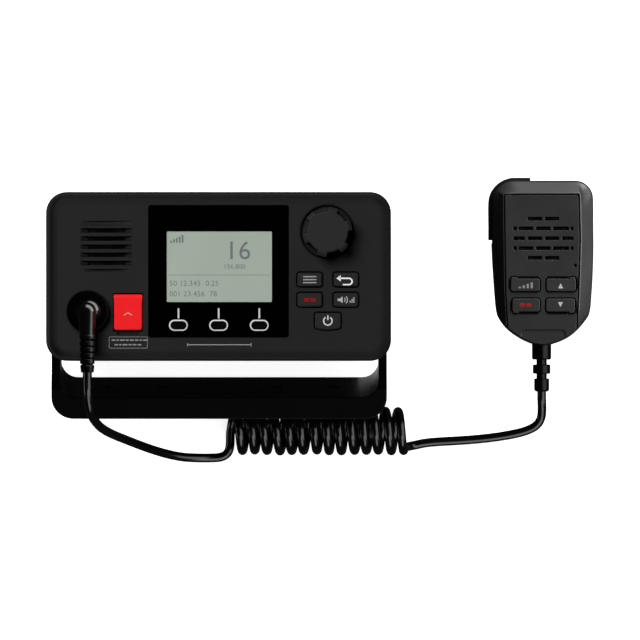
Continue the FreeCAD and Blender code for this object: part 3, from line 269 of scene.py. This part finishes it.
M["key"] = moulded("key_rubber", (0.0098, 0.0098, 0.0101), 0.46, 0.58, grain=2600, depth=0.00003, strength=0.35, edge=0.00035, spec=0.14, painted_gap_shade=0.0014)
M["knob"] = moulded("knob_plastic", (0.0104, 0.0104, 0.0109), 0.46, 0.56, grain=1500, depth=0.00002, strength=0.2, edge=0.0006, spec=0.15, painted_gap_shade=0.0016)
M["plug"] = moulded("plug_plastic", (0.0009, 0.0009, 0.0010), 0.17, 0.23, grain=1500, depth=0.00002, strength=0.15, edge=0.0003, spec=0.55, painted_gap_shade=0.0012, soft_end=sleeve_end)
M["nut"] = moulded("nut_plastic", (0.0006, 0.0006, 0.0007), 0.36, 0.46, grain=1500, depth=0.00002, strength=0.2, edge=0.0003, spec=0.05, painted_gap_shade=0.0010)
M["mic"] = moulded("mic_plastic", (0.0300, 0.0302, 0.0309), 0.34, 0.44, grain=2300, depth=0.00004, strength=0.4, edge=0.0004, spec=0.45, painted_gap_shade=0.0015, floor=0.10)
M["mic_key"] = moulded("mic_key_rubber", (0.0300, 0.0300, 0.0307), 0.46, 0.56, grain=2500, depth=0.00003, strength=0.35, edge=0.00035, spec=0.3, painted_gap_shade=0.0017, floor=0.06)
M["mic_lever"] = moulded("mic_lever_plastic", (0.006, 0.0065, 0.0075), 0.40, 0.5, grain=2300, depth=0.00003, strength=0.35, edge=0.0004, spec=0.3)
M["mask"] = moulded("window_mask", (0.0006, 0.0006, 0.0007), 0.12, 0.16, grain=900, depth=0.00001, strength=0.05, edge=0, tint=0.05, spec=0.02)
# near-black: the speakers' and capsule's own dark colour, deepened as painted shade so the grille openings read as
# shadowed cavities; also the colour of the painted-shade strips beside the microphone keys
M["dark"] = moulded("cavity_black_painted_shade", (0.0015, 0.0015, 0.0016), 0.7, 0.85, grain=1500, depth=0.00003, strength=0.3, edge=0, spec=0.1)
M["red"] = moulded("red_plastic", (0.88, 0.012, 0.015), 0.40, 0.5, grain=2200, depth=0.00002, strength=0.2, edge=0.0003, tint=0.03, spec=0.06, painted_gap_shade=0.0008)
M["white"] = moulded("white_plastic", (0.72, 0.72, 0.70), 0.5, 0.6, tint=0.04)
M["silicone"] = moulded("silicone", (0.42, 0.42, 0.40), 0.45, 0.55, tint=0.05)
M["cone"] = moulded("speaker_paper", (0.012, 0.012, 0.012), 0.75, 0.9, grain=3000, strength=0.5)
M["steel"] = metal("steel", (0.42, 0.42, 0.43), 0.32)
M["tin"] = metal("tin_plate", (0.62, 0.62, 0.6), 0.28, (1, 12, 1))
M["brass"] = metal("brass", (0.62, 0.44, 0.18), 0.3)
M["nickel"] = metal("nickel", (0.66, 0.64, 0.6), 0.2)
M["black_steel"] = metal("black_steel", (0.05, 0.05, 0.052), 0.4)


def board_material(name, mask, track):
    m, nt, out = tree(name)
    v = coords(nt)
    p = principled(nt, out, mask, 0.35, coat=0.3)
    w = nt.nodes.new("ShaderNodeTexWave")
    w.inputs["Scale"].default_value = 260.0
    w.inputs["Distortion"].default_value = 6.0
    w.inputs["Detail"].default_value = 2.0
    link(nt, v, w.inputs["Vector"])
    link(nt, ramp(nt, w.outputs["Fac"], [(0.45, mask), (0.55, track)]), p.inputs["Base Color"])
    link(nt, bump(nt, w.outputs["Fac"], 0.2, 0.00003), p.inputs["Normal"])
    return m


M["board"] = board_material("board", (0.008, 0.07, 0.025), (0.015, 0.13, 0.045))
M["board_black"] = board_material("board_black", (0.003, 0.003, 0.0035), (0.006, 0.006, 0.007))


def window_material():
    """Clear cover: lets the display through; its mirror share grows towards grazing."""
    m, nt, out = tree("window_clear")
    v = coords(nt)
    p = principled(nt, out, (0.9, 0.92, 0.95), 0.045, metallic=1.0)
    w = nt.nodes.new("ShaderNodeLayerWeight")
    w.inputs["Blend"].default_value = 0.5
    graze = math_node(nt, "POWER", w.outputs["Facing"], 5.0)
    link(nt, math_node(nt, "MULTIPLY_ADD", graze, 0.85, 0.010), p.inputs["Alpha"])
    n = noise(nt, v, 60.0, 2.0)
    link(nt, remap(nt, n, 0.03, 0.07), p.inputs["Roughness"])
    m.blend_method = "BLEND"
    return m


M["window"] = window_material()


def lcd_material():
    """Grey-green display glass with its pixel grid."""
    m, nt, out = tree("lcd_glass")
    v = coords(nt)
    p = principled(nt, out, (0.34, 0.38, 0.33), 0.28)
    sep = nt.nodes.new("ShaderNodeSeparateXYZ")
    link(nt, v, sep.inputs[0])
    fx = math_node(nt, "FRACT", math_node(nt, "MULTIPLY", sep.outputs["X"], 2500.0))
    fy = math_node(nt, "FRACT", math_node(nt, "MULTIPLY", sep.outputs["Y"], 2500.0))
    grid = math_node(nt, "MAXIMUM", math_node(nt, "GREATER_THAN", fx, 0.88), math_node(nt, "GREATER_THAN", fy, 0.88))
    soft = noise(nt, v, 28.0, 2.0)
    base = ramp(nt, soft, [(0.3, (0.355, 0.420, 0.350)), (0.7, (0.385, 0.450, 0.375))])
    mix = nt.nodes.new("ShaderNodeMix")
    mix.data_type = "RGBA"
    mix.inputs["B"].default_value = (0.31, 0.36, 0.31, 1)
    link(nt, math_node(nt, "MULTIPLY", grid, 0.5), mix.inputs["Factor"])
    link(nt, base, mix.inputs["A"])
    link(nt, mix.outputs["Result"], p.inputs["Base Color"])
    return m


M["lcd"] = lcd_material()


def ink(name, color, glow=0.0, rough=0.45, spec=0.5):
    m, nt, out = tree(name)
    v = coords(nt)
    p = principled(nt, out, color, rough, spec=spec)
    n = noise(nt, v, 1800.0, 3.0)
    c = ramp(nt, n, [(0.3, shade(color, 0.90)), (0.7, shade(color, 1.04))])
    link(nt, c, p.inputs["Base Color"])
    # painted glow: the ink gives off a little light of its own colour though it is no lamp
    if glow:
        link(nt, c, p.inputs["Emission Color"])
        p.inputs["Emission Strength"].default_value = glow
    link(nt, bump(nt, n, 0.1, 0.00002), p.inputs["Normal"])
    return m


# the white print is given a faint painted glow
M["ink_white"] = ink("ink_white", (0.80, 0.80, 0.80), glow=0.1)
M["ink_soft"] = ink("ink_soft", (0.58, 0.58, 0.58))
M["ink_mid"] = ink("ink_mid", (0.42, 0.42, 0.42))
M["ink_grey"] = ink("ink_grey", (0.28, 0.28, 0.29))
M["ink_dim"] = ink("ink_dim", (0.20, 0.20, 0.21))
M["ink_pink"] = ink("ink_pink", (0.86, 0.26, 0.26))
M["ink_red"] = ink("ink_red", (0.25, 0.005, 0.005), spec=0.06)
M["ink_mic_red"] = ink("ink_mic_red", (0.34, 0.010, 0.010))
M["ink_lcd"] = ink("ink_lcd", (0.16, 0.155, 0.20), rough=0.3)
M["ink_lcd_soft"] = ink("ink_lcd_soft", (0.150, 0.155, 0.175), rough=0.3)


def soft_key_material():
    """Black rubber pill whose rim is left white: a stadium's distance field paints the rim."""
    m, nt, out = tree("soft_key_rubber")
    v = coords(nt)
    p = principled(nt, out, (0.015, 0.015, 0.016), 0.5, spec=0.015)
    sep = nt.nodes.new("ShaderNodeSeparateXYZ")
    link(nt, v, sep.inputs[0])
    ax = None
    for cx in (-0.0208, 0.00015, 0.0213):
        dx = math_node(nt, "ABSOLUTE", math_node(nt, "SUBTRACT", sep.outputs["X"], cx))
        ax = dx if ax is None else math_node(nt, "MINIMUM", ax, dx)
    ax = math_node(nt, "MAXIMUM", math_node(nt, "SUBTRACT", ax, 0.0020), 0.0)
    ay = math_node(nt, "SUBTRACT", sep.outputs["Y"], -0.0255)
    d = math_node(nt, "SQRT", math_node(nt, "ADD", math_node(nt, "MULTIPLY", ax, ax), math_node(nt, "MULTIPLY", ay, ay)))
    rim = math_node(nt, "MULTIPLY", math_node(nt, "GREATER_THAN", d, 0.00222), math_node(nt, "GREATER_THAN", sep.outputs["Z"], 0.0773))
    fine = noise(nt, v, 2600.0, 2.0)
    mix = nt.nodes.new("ShaderNodeMix")
    mix.data_type = "RGBA"
    mix.inputs["B"].default_value = (0.64, 0.64, 0.64, 1)
    link(nt, rim, mix.inputs["Factor"])
    link(nt, ramp(nt, fine, [(0.3, (0.0012, 0.0012, 0.0013)), (0.7, (0.0017, 0.0017, 0.0018))]), mix.inputs["A"])
    link(nt, mix.outputs["Result"], p.inputs["Base Color"])
    # painted glow: the key face, its white rim most, gives off a little light though the key holds no lamp
    link(nt, mix.outputs["Result"], p.inputs["Emission Color"])
    p.inputs["Emission Strength"].default_value = 0.05
    link(nt, bump(nt, fine, 0.3, 0.00003, edge_round(nt, 0.0003)), p.inputs["Normal"])
    return m


M["soft_key"] = soft_key_material()

NODE_MATERIAL = {
    "front_panel": "panel", "panel_gasket": "rubber", "rear_case": "case", "heat_sink": "sink", "display_lens": "window", "lens_mask": "mask",
    "lcd_panel": "lcd", "lcd_backlight": "white", "panel_pcb": "board", "main_pcb": "board", "rf_shield_can": "tin", "speaker_driver": "dark",
    "speaker_cone": "dark", "key_mat": "silicone", "menu_key": "key", "back_key": "key", "priority_key": "key", "volume_key": "key", "power_key": "key",
    "soft_key_left": "soft_key", "soft_key_middle": "soft_key", "soft_key_right": "soft_key", "distress_cover": "red", "cover_hinge_pin": "black_steel",
    "cover_spring": "black_steel", "distress_button": "red", "rotary_encoder": "tin", "encoder_shaft": "steel", "tuning_knob": "knob", "mic_socket": "nickel",
    "mic_plug": "plug", "plug_coupling_nut": "nut", "antenna_socket": "nickel", "cable_glands": "rubber", "case_screws": "black_steel",
    "pcb_screws": "steel", "heat_sink_screws": "steel", "threaded_inserts": "brass", "bracket": "bracket", "friction_washers": "rubber",
    "clamp_knob_right": "knob", "clamp_knob_left": "knob", "mic_front_shell": "mic", "mic_rear_shell": "mic", "mic_ptt_lever": "mic_lever",
    "ptt_pivot_pin": "steel", "ptt_switch": "rubber", "mic_pcb": "board_black", "mic_speaker": "dark", "mic_capsule": "dark",
    "mic_power_level_key": "mic_key", "mic_up_key": "mic_key", "mic_down_key": "mic_key", "mic_priority_key": "mic_key", "mic_screws": "black_steel",
    "hang_stud": "steel", "mic_strain_relief": "relief",
    "cord_lead_radio": "cord", "cord_coil": "cord", "cord_lead_mic": "cord",
}
for name, obj in NODES.items():
    mat = M[NODE_MATERIAL[name]]
    if not obj.data.materials:
        obj.data.materials.append(mat)
    for s in obj.material_slots:
        s.material = mat


# ------------------------------------------------------------------ small builders (millimetres in, metres out)
def add_mesh(name, bm, mat, body, smooth=False):
    me = bpy.data.meshes.new(name)
    bmesh.ops.recalc_face_normals(bm, faces=bm.faces)
    bm.to_mesh(me)
    bm.free()
    for p in me.polygons:
        p.use_smooth = smooth
    o = bpy.data.objects.new(name, me)
    scene.collection.objects.link(o)
    me.materials.append(mat)
    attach(o, body)
    return o


def prism(bm, pts, z0, z1):
    """A closed prism of one outline."""
    lo = [bm.verts.new((x * MM, y * MM, z0 * MM)) for x, y in pts]
    hi = [bm.verts.new((x * MM, y * MM, z1 * MM)) for x, y in pts]
    bm.faces.new(lo[::-1])
    bm.faces.new(hi)
    n = len(pts)
    for i in range(n):
        bm.faces.new((lo[i], lo[(i + 1) % n], hi[(i + 1) % n], hi[i]))


def ring_prism(bm, outer, inner, z0, z1):
    """A closed frame between two outlines with the same number of points."""
    n = len(outer)
    v = [[bm.verts.new((x * MM, y * MM, z * MM)) for x, y in pts] for pts, z in ((outer, z0), (inner, z0), (outer, z1), (inner, z1))]
    ol, il, oh, ih = v
    for i in range(n):
        j = (i + 1) % n
        bm.faces.new((ol[i], ol[j], oh[j], oh[i]))
        bm.faces.new((il[j], il[i], ih[i], ih[j]))
        bm.faces.new((oh[i], oh[j], ih[j], ih[i]))
        bm.faces.new((ol[j], ol[i], il[i], il[j]))


def stroke(bm, pts, width, z0, z1, closed=False):
    """A drawn line of the given width along a path, as a closed prism."""
    n = len(pts)
    left, right = [], []
    for i, (x, y) in enumerate(pts):
        a = pts[i - 1] if (i > 0 or closed) else None
        b = pts[(i + 1) % n] if (i < n - 1 or closed) else None
        d1 = Vector((x - a[0], y - a[1])).normalized() if a else None
        d2 = Vector((b[0] - x, b[1] - y)).normalized() if b else None
        d1 = d1 or d2
        d2 = d2 or d1
        t = (d1 + d2).normalized()
        k = 1.0 / max(0.35, t.dot(d1))
        nx, ny = -t.y * width / 2 * k, t.x * width / 2 * k
        left.append((x + nx, y + ny))
        right.append((x - nx, y - ny))
    if closed:
        ring_prism(bm, left, right, z0, z1)
    else:
        prism(bm, left + right[::-1], z0, z1)


def arc(cx, cy, r, a0, a1, n=16):
    return [(cx + r * math.cos(math.radians(a0 + (a1 - a0) * i / n)), cy + r * math.sin(math.radians(a0 + (a1 - a0) * i / n))) for i in range(n + 1)]


def rounded(cx, cy, w, h, r, n=5):
    pts = []
    for sx, sy, a in ((1, 1, 0), (-1, 1, 90), (-1, -1, 180), (1, -1, 270)):
        pts += arc(cx + sx * (w / 2 - r), cy + sy * (h / 2 - r), r, a, a + 90, n)
    return pts


def marks(name, mat, body, z, draw, up=0.035):
    bm = bmesh.new()
    draw(bm, z - 0.02, z + up)
    return add_mesh(name, bm, M[mat], body)


def digits(name, text, x, y, size, z, mat, body, align="LEFT", spread=1.0):
    """Plain figures for the display."""
    c = bpy.data.curves.new(name, "FONT")
    c.body = text
    c.size = size * MM
    c.extrude = 0.02 * MM
    c.align_x = align
    c.space_character = spread
    c.resolution_u = 4
    t = bpy.data.objects.new(name + "_curve", c)
    scene.collection.objects.link(t)
    bpy.context.view_layer.update()
    me = bpy.data.meshes.new_from_object(t.evaluated_get(bpy.context.evaluated_depsgraph_get()))
    bpy.data.objects.remove(t)
    me.transform(Matrix.Translation((x * MM, y * MM, z * MM)))
    me.name = name
    me.materials.clear()
    me.materials.append(M[mat])
    o = bpy.data.objects.new(name, me)
    scene.collection.objects.link(o)
    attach(o, body)
    return o


# ------------------------------------------------------------------ the cord: one spline from the microphone to the plug
LEAD_MIC = [
    (170.3, -60.3, 9.5), (170.35, -64.4, 9.4), (170.5, -68.2, 8.0), (170.6, -71.9, 5.6), (170.1, -75.3, 3.6),
    (168.2, -78.4, 2.75), (164.6, -80.7, 2.55), (159.2, -82.5, 2.55), (152.0, -84.0, 2.5), (143.0, -85.3, 2.55),
    (133.0, -86.3, 2.5), (123.0, -86.9, 2.55), (114.0, -87.4, 2.55), (107.6, -88.1, 2.55), (103.6, -89.1, 2.6), (101.0, -89.6, 3.2),
]
LEAD_RADIO = [
    (-67.9, -49.6, 90.0), (-67.9, -55.6, 89.9), (-67.8, -62.0, 88.4), (-67.1, -68.6, 84.6), (-65.3, -74.0, 78.6),
    (-62.6, -77.9, 71.2), (-59.0, -80.8, 62.8), (-54.8, -83.1, 53.8), (-49.8, -85.3, 44.2), (-43.9, -87.9, 34.4),
    (-37.0, -90.7, 24.8), (-29.0, -93.4, 15.9), (-20.4, -95.4, 8.6), (-12.4, -95.9, 4.4), (-5.2, -95.95, 2.9), (0.2, -95.7, 2.5),
    (3.8, -93.9, 2.45), (5.3, -90.2, 2.45),
]
COIL_Y, COIL_Z, COIL_R, PITCH, PER_TURN = -81.4, 13.15, 10.5, 6.57, 16
LOBE0 = 11.8  # x of the first strand's lowest point


def coil_points():
    pts = []
    k = 1.0 / math.cos(math.pi / PER_TURN)
    a = -100.0
    end = 180.0 + 13 * 360.0 + 42.0
    step = 360.0 / PER_TURN
    while a <= end:
        x = LOBE0 + PITCH * (a - 180.0) / 360.0
        turn = a / 360.0
        x += 0.22 * math.sin(turn * 2.1) + 0.16 * math.sin(turn * 5.3 + 1.0)
        x -= 1.2 * max(0.0, 1.0 - (a + 100.0) / 190.0)
        r = COIL_R * k * (1.0 + 0.010 * math.sin(turn * 3.7) - 0.006 * math.cos(turn * 7.9))
        y = COIL_Y + r * math.cos(math.radians(a)) + 0.15 * math.sin(turn * 1.3)
        z = COIL_Z + r * math.sin(math.radians(a))
        pts.append((x, y, max(z, 2.45)))
        a += step
    return pts


helix = coil_points()
route = LEAD_MIC + helix[::-1] + LEAD_RADIO[::-1]
cu = bpy.data.curves.new("cord", "CURVE")
cu.dimensions = "3D"
cu.resolution_u = 5
sp = cu.splines.new("NURBS")
sp.points.add(len(route) - 1)
for i, (x, y, z) in enumerate(route):
    sp.points[i].co = (x * MM, y * MM, z * MM, 1.0)
sp.order_u = 3
sp.use_endpoint_u = True
sp.resolution_u = 5
cu.bevel_depth = 2.38 * MM
cu.bevel_resolution = 6
cu.use_fill_caps = True
cord = bpy.data.objects.new("cord", cu)
scene.collection.objects.link(cord)
cu.materials.append(M["cord"])
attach(cord, "radio")
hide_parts("cord_lead_mic", "cord_coil", "cord_lead_radio")

# ------------------------------------------------------------------ printed marks on the radio
FACE, LENS, KEY, SOFT, LCD = 78.0, 77.2, 79.2, 78.0, 74.7


def soft_lines(bm, z0, z1):
    for x in (-20.8, 0.15, 21.3):
        prism(bm, [(x - 0.44, -21.9), (x + 0.44, -21.9), (x + 0.44, -16.6), (x - 0.44, -16.6)], z0, z1)


marks("soft_key_leaders", "ink_soft", "radio", LENS, soft_lines)


def menu_icon(bm, z0, z1):
    for y in (-0.15, -1.7, -3.25):
        prism(bm, rounded(47.6, y, 7.0, 0.62, 0.28, 3), z0, z1)


marks("menu_mark", "ink_grey", "menu", KEY, menu_icon)


def back_icon(bm, z0, z1):
    x, y = 66.4, -1.9
    stroke(bm, [(x - 3.6, y + 0.9), (x + 1.6, y + 0.9)] + arc(x + 1.6, y - 0.75, 1.65, 90, -90, 10) + [(x - 1.6, y - 2.4)], 0.75, z0, z1)
    prism(bm, [(x - 5.0, y + 0.9), (x - 2.7, y + 2.5), (x - 2.7, y - 0.7)], z0, z1)


marks("back_mark", "ink_white", "back", KEY, back_icon)


def priority_icon(bm, z0, z1):
    x, y = 47.6, -12.2
    for dx in (-1.7, 1.7):
        prism(bm, rounded(x + dx, y, 2.7, 1.9, 0.4, 4), z0, z1)


marks("priority_mark", "ink_red", "priority", KEY, priority_icon)


def volume_icon(bm, z0, z1):
    x, y = 66.4, -12.2
    prism(bm, [(x - 4.3, y - 0.65), (x - 3.2, y - 0.65), (x - 1.7, y - 1.75), (x - 1.7, y + 1.75), (x - 3.2, y + 0.65), (x - 4.3, y + 0.65)], z0, z1)
    for r in (1.5, 2.7):
        stroke(bm, arc(x - 1.9, y, r, -42, 42, 8), 0.45, z0, z1)
    for i in range(3):
        prism(bm, [(x + 2.0 + i * 0.95, y - 1.5), (x + 2.5 + i * 0.95, y - 1.5), (x + 2.5 + i * 0.95, y - 0.5 + i * 0.95), (x + 2.0 + i * 0.95, y - 0.5 + i * 0.95)], z0, z1)


marks("volume_mark", "ink_mid", "volume", KEY, volume_icon)


def power_icon(bm, z0, z1):
    x, y = 57.0, -23.2
    stroke(bm, arc(x, y, 2.2, 124, 416, 28), 0.72, z0, z1)
    prism(bm, rounded(x, y + 1.7, 0.74, 2.6, 0.35, 4), z0, z1)


marks("power_mark", "ink_soft", "power", KEY, power_icon)


def cover_icon(bm, z0, z1):
    x, y = -47.05, -19.6
    stroke(bm, [(x - 2.1, y - 0.6), (x, y + 0.7), (x + 2.1, y - 0.6)], 0.5, z0, z1)


marks("cover_mark", "ink_pink", "cover", 78.8, cover_icon)


def note_box(bm, z0, z1):
    x, y, w, h = -46.95, -34.45, 20.1, 6.1
    ring_prism(bm, rounded(x, y, w, h, 0.5, 3), rounded(x, y, w - 0.5, h - 0.5, 0.3, 3), z0, z1)


marks("note_frame", "ink_dim", "radio", FACE, note_box)


def note_lines(bm, z0, z1):
    for y, a, b in ((-33.2, -8.6, 8.2), (-35.6, -7.2, 7.0)):
        x = a
        k = 0
        while x < b:
            w = (1.9, 1.2, 2.6, 1.5, 2.1)[k % 5]
            prism(bm, rounded(-46.95 + x + w / 2, y, w, 0.75, 0.15, 2), z0, z1)
            x += w + 0.55
            k += 1


marks("note_lines", "ink_dim", "radio", FACE, note_lines)


def face_rule(bm, z0, z1):
    prism(bm, rounded(0.5, -35.6, 33.0, 0.42, 0.2, 3), z0, z1)
    for x in (-16.0, 17.0):
        prism(bm, rounded(x, -35.6, 0.42, 1.7, 0.2, 3), z0, z1)


marks("face_rule", "ink_grey", "radio", FACE, face_rule)

# ------------------------------------------------------------------ what the display shows: plain figures and bars
digits("lcd_big", "16", 3.4, 9.0, 13.5, LCD + 0.02, "ink_lcd_soft", "radio", "LEFT", 1.02)
digits("lcd_small", "156.800", 2.6, 4.0, 3.4, LCD + 0.02, "ink_lcd_soft", "radio", "LEFT", 1.05)
digits("lcd_line_1", "50 12.345  0.25", -25.6, -4.9, 3.9, LCD + 0.02, "ink_lcd_soft", "radio", "LEFT", 1.05)
digits("lcd_line_2", "001 23.456  78", -25.6, -10.4, 3.9, LCD + 0.02, "ink_lcd_soft", "radio", "LEFT", 1.05)


def lcd_bars(bm, z0, z1):
    for i in range(5):
        x = -25.2 + i * 1.5
        prism(bm, [(x, 17.6), (x + 0.95, 17.6), (x + 0.95, 18.6 + i * 0.75), (x, 18.6 + i * 0.75)], z0, z1)
    prism(bm, [(-26.2, 0.6), (27.0, 0.6), (27.0, 0.85), (-26.2, 0.85)], z0, z1)


marks("lcd_bars", "ink_lcd_soft", "radio", LCD, lcd_bars)

# ------------------------------------------------------------------ marks on the microphone
MKEY = 31.2


def triangle(x, y, w, h, up):
    s = 1 if up else -1
    return [(x - w / 2, y - s * h / 2), (x + w / 2, y - s * h / 2), (x, y + s * h / 2)]


marks("mic_up_mark", "ink_soft", "mic_up", MKEY, lambda bm, a, b: prism(bm, triangle(179.7, -4.7, 2.6, 2.7, True), a, b))
marks("mic_down_mark", "ink_soft", "mic_down", MKEY, lambda bm, a, b: prism(bm, triangle(179.6, -14.6, 2.6, 2.6, False), a, b))
marks("mic_priority_mark", "ink_mic_red", "mic_priority", MKEY, lambda bm, a, b: [prism(bm, rounded(161.2 + dx, -14.7, 2.7, 1.9, 0.4, 4), a, b) for dx in (-1.7, 1.7)])


def key_gap_shade_strips(bm, z0, z1):
    """Painted shade: near-black strips laid on the shell beside the four keys, a bar on each key's outer long side and
    a short upright at its outer corner, where the key gaps fall in shadow.
    """
    for a, b, c, d, sx, sy in ((153.0, 169.1, -8.4, -0.15, -1, 1), (171.75, 188.1, -8.4, -0.15, 1, 1), (153.8, 169.1, -19.15, -10.7, -1, -1), (171.6, 187.6, -19.15, -10.7, 1, -1)):
        x0, x1 = (a + 4.5, b - 1.0) if sx < 0 else (a + 1.0, b - 4.5)
        edge = d - 0.13 if sy > 0 else c + 0.13
        prism(bm, rounded((x0 + x1) / 2, edge + sy * 0.37, x1 - x0, 0.76, 0.25, 3), z0, z1)
        side = a - 0.5 if sx < 0 else b + 0.5
        y0, y1 = (c + 2.0, d + 0.2) if sy > 0 else (c - 0.2, d - 2.0)
        prism(bm, rounded(side, (y0 + y1) / 2, 0.5, y1 - y0, 0.2, 3), z0, z1)


marks("mic_key_shade_strips", "dark", "radio", 30.5, key_gap_shade_strips)


def level_icon(bm, z0, z1):
    for i in range(4):
        x = 157.6 + i * 2.1
        prism(bm, [(x, -6.0), (x + 1.15, -6.0), (x + 1.15, -5.1 + i * 0.72), (x, -5.1 + i * 0.72)], z0, z1)


marks("mic_level_mark", "ink_grey", "mic_power_level", MKEY, level_icon)

# ------------------------------------------------------------------ floor and lights
bm = bmesh.new()
S = 30.0
vs = [bm.verts.new((x, y, -0.0004)) for x, y in ((-S, -S), (S, -S), (S, S), (-S, S))]
bm.faces.new(vs)
me = bpy.data.meshes.new("floor")
bm.to_mesh(me)
bm.free()
floor = bpy.data.objects.new("floor", me)
scene.collection.objects.link(floor)
fm, nt, out = tree("floor_paper")
p = principled(nt, out, (0.92, 0.92, 0.92), 0.9)
p.inputs["Emission Color"].default_value = (1.0, 1.0, 1.0, 1.0)
p.inputs["Emission Strength"].default_value = 0.86
n = noise(nt, coords(nt), 6.0, 2.0)
link(nt, ramp(nt, n, [(0.3, (0.91, 0.91, 0.91)), (0.7, (0.93, 0.93, 0.93))]), p.inputs["Base Color"])
me.materials.append(fm)
floor.visible_diffuse = False
floor.visible_glossy = False


def area(name, loc, target, size, size_y, energy, color=(1, 1, 1)):
    ld = bpy.data.lights.new(name, "AREA")
    ld.shape = "RECTANGLE"
    ld.size, ld.size_y = size, size_y
    ld.energy = energy
    ld.color = color
    o = bpy.data.objects.new(name, ld)
    o.location = loc
    o.rotation_mode = "QUATERNION"
    o.rotation_quaternion = (Vector(target) - Vector(loc)).to_track_quat("-Z", "Y")
    o.visible_camera = False
    scene.collection.objects.link(o)
    return o


MID = (0.05, -0.02, 0.03)


def reach(light, names, keep=True):
    """The light reaches only the named pieces, or all but them."""
    c = bpy.data.collections.new(light.name + "_reach")
    for k, name in enumerate(names):
        c.objects.link(NODES[name] if name in NODES else bpy.data.objects[name])
        if not keep:
            c.collection_objects[k].light_linking.link_state = "EXCLUDE"
    light.light_linking.receiver_collection = c


GLOSS = ["mic_plug", "plug_coupling_nut", "cord", "mic_strain_relief", "bracket", "display_lens", "lens_mask"]
HAND = ["mic_front_shell", "mic_rear_shell", "mic_ptt_lever", "mic_power_level_key", "mic_up_key", "mic_down_key", "mic_priority_key",
        "mic_up_mark", "mic_down_mark", "mic_priority_mark", "mic_level_mark", "mic_key_shade_strips"]
FACE_PIECES = ["front_panel", "menu_key", "back_key", "priority_key", "volume_key", "power_key", "soft_key_left", "soft_key_middle", "soft_key_right",
               "distress_cover", "distress_button", "tuning_knob", "lcd_panel", "soft_key_leaders", "menu_mark", "back_mark", "priority_mark", "volume_mark",
               "power_mark", "cover_mark", "note_frame", "note_lines", "face_rule", "lcd_big", "lcd_small", "lcd_line_1", "lcd_line_2", "lcd_bars", "display_lens", "lens_mask"]
reach(area("right", (1.70, 0.05, 1.52), MID, 3.0, 2.4, 42), FACE_PIECES + HAND + ["bracket", "mic_plug"], keep=False)
reach(area("hand_right", (2.00, 0.35, 1.25), MID, 1.2, 0.9, 48), HAND)
reach(area("hand_back", (1.20, 2.20, 0.75), (0.17, 0.0, 0.03), 2.0, 0.8, 84), HAND)
reach(area("back_low", (0.45, 2.6, 0.75), MID, 3.0, 0.7, 28), FACE_PIECES + HAND + ["mic_plug", "bracket", "cord"], keep=False)
reach(area("plug_ring", (1.02, 1.32, 0.74), (-0.067, -0.018, 0.088), 4.2, 1.4, 104), ["mic_plug"])
reach(area("front", (0.75, -1.7, 1.5), MID, 1.0, 0.8, 8), FACE_PIECES + HAND + ["mic_plug", "mic_strain_relief", "bracket", "cord"], keep=False)
reach(area("cord_front", (0.70, -1.75, 1.50), MID, 1.5, 2.2, 24), ["cord"])
reach(area("plug_right", (1.90, 0.0, 1.15), (-0.067, -0.03, 0.088), 2.2, 1.2, 17), ["mic_plug"])
reach(area("left_low", (-2.2, -0.25, 0.28), MID, 1.6, 0.30, 5), ["cord"])
reach(area("top_left", (-1.33, 1.47, 4.03), (0.0, 0.0, 0.08), 2.1, 2.1, 205), GLOSS + HAND, keep=False)
for side, x0, x1, watts in ((1, 0.0738, 0.0850, 0.00100), (-1, 0.0800, 0.0840, 0.0002)):
    x = side * (x0 + x1) / 2
    reach(area("floor_card", (x, -0.049, 0.0004), (x, -0.049, 1.0), x1 - x0, 0.010, watts), ["bracket"])
reach(area("bracket_right", (1.70, 0.05, 1.52), MID, 3.0, 2.4, 7.5), ["bracket"])
reach(area("bracket_back", (0.45, 2.6, 0.75), MID, 3.0, 0.7, 5.0), ["bracket"])
reach(area("bracket_front", (0.75, -1.7, 1.5), MID, 1.0, 0.8, 1.4), ["bracket"])
# low fills, level with the set, for the sides of the panel and the bracket
for name, place, wide, watts, names in (
        ("fill_left", (-2.3, 0.0, 0.09), 2.4, 24, FACE_PIECES + ["bracket"]), ("fill_right", (2.5, 0.0, 0.09), 2.4, 13, FACE_PIECES),
        ("fill_bracket", (2.5, 0.0, 0.09), 2.4, 34, ["bracket"]), ("fill_front", (0.05, -2.4, 0.07), 3.0, 26, FACE_PIECES),
        ("fill_bracket_front", (0.05, -2.4, 0.04), 3.0, 30, ["bracket"]), ("fill_back", (0.05, 2.4, 0.09), 3.0, 24, FACE_PIECES)):
    reach(area(name, place, (0.0, 0.0, 0.05), wide, 0.25, watts), names)
world = bpy.data.worlds.new("world")
scene.world = world
world.use_nodes = True
bg = world.node_tree.nodes["Background"]
bg.inputs["Color"].default_value = (1.0, 1.0, 1.0, 1.0)
# the backdrop is as pale as the floor; as a light it is weak
path = world.node_tree.nodes.new("ShaderNodeLightPath")
level = world.node_tree.nodes.new("ShaderNodeMapRange")
level.inputs["To Min"].default_value = 0.03
level.inputs["To Max"].default_value = 1.0
world.node_tree.links.new(path.outputs["Is Camera Ray"], level.inputs["Value"])
world.node_tree.links.new(level.outputs["Result"], bg.inputs["Strength"])
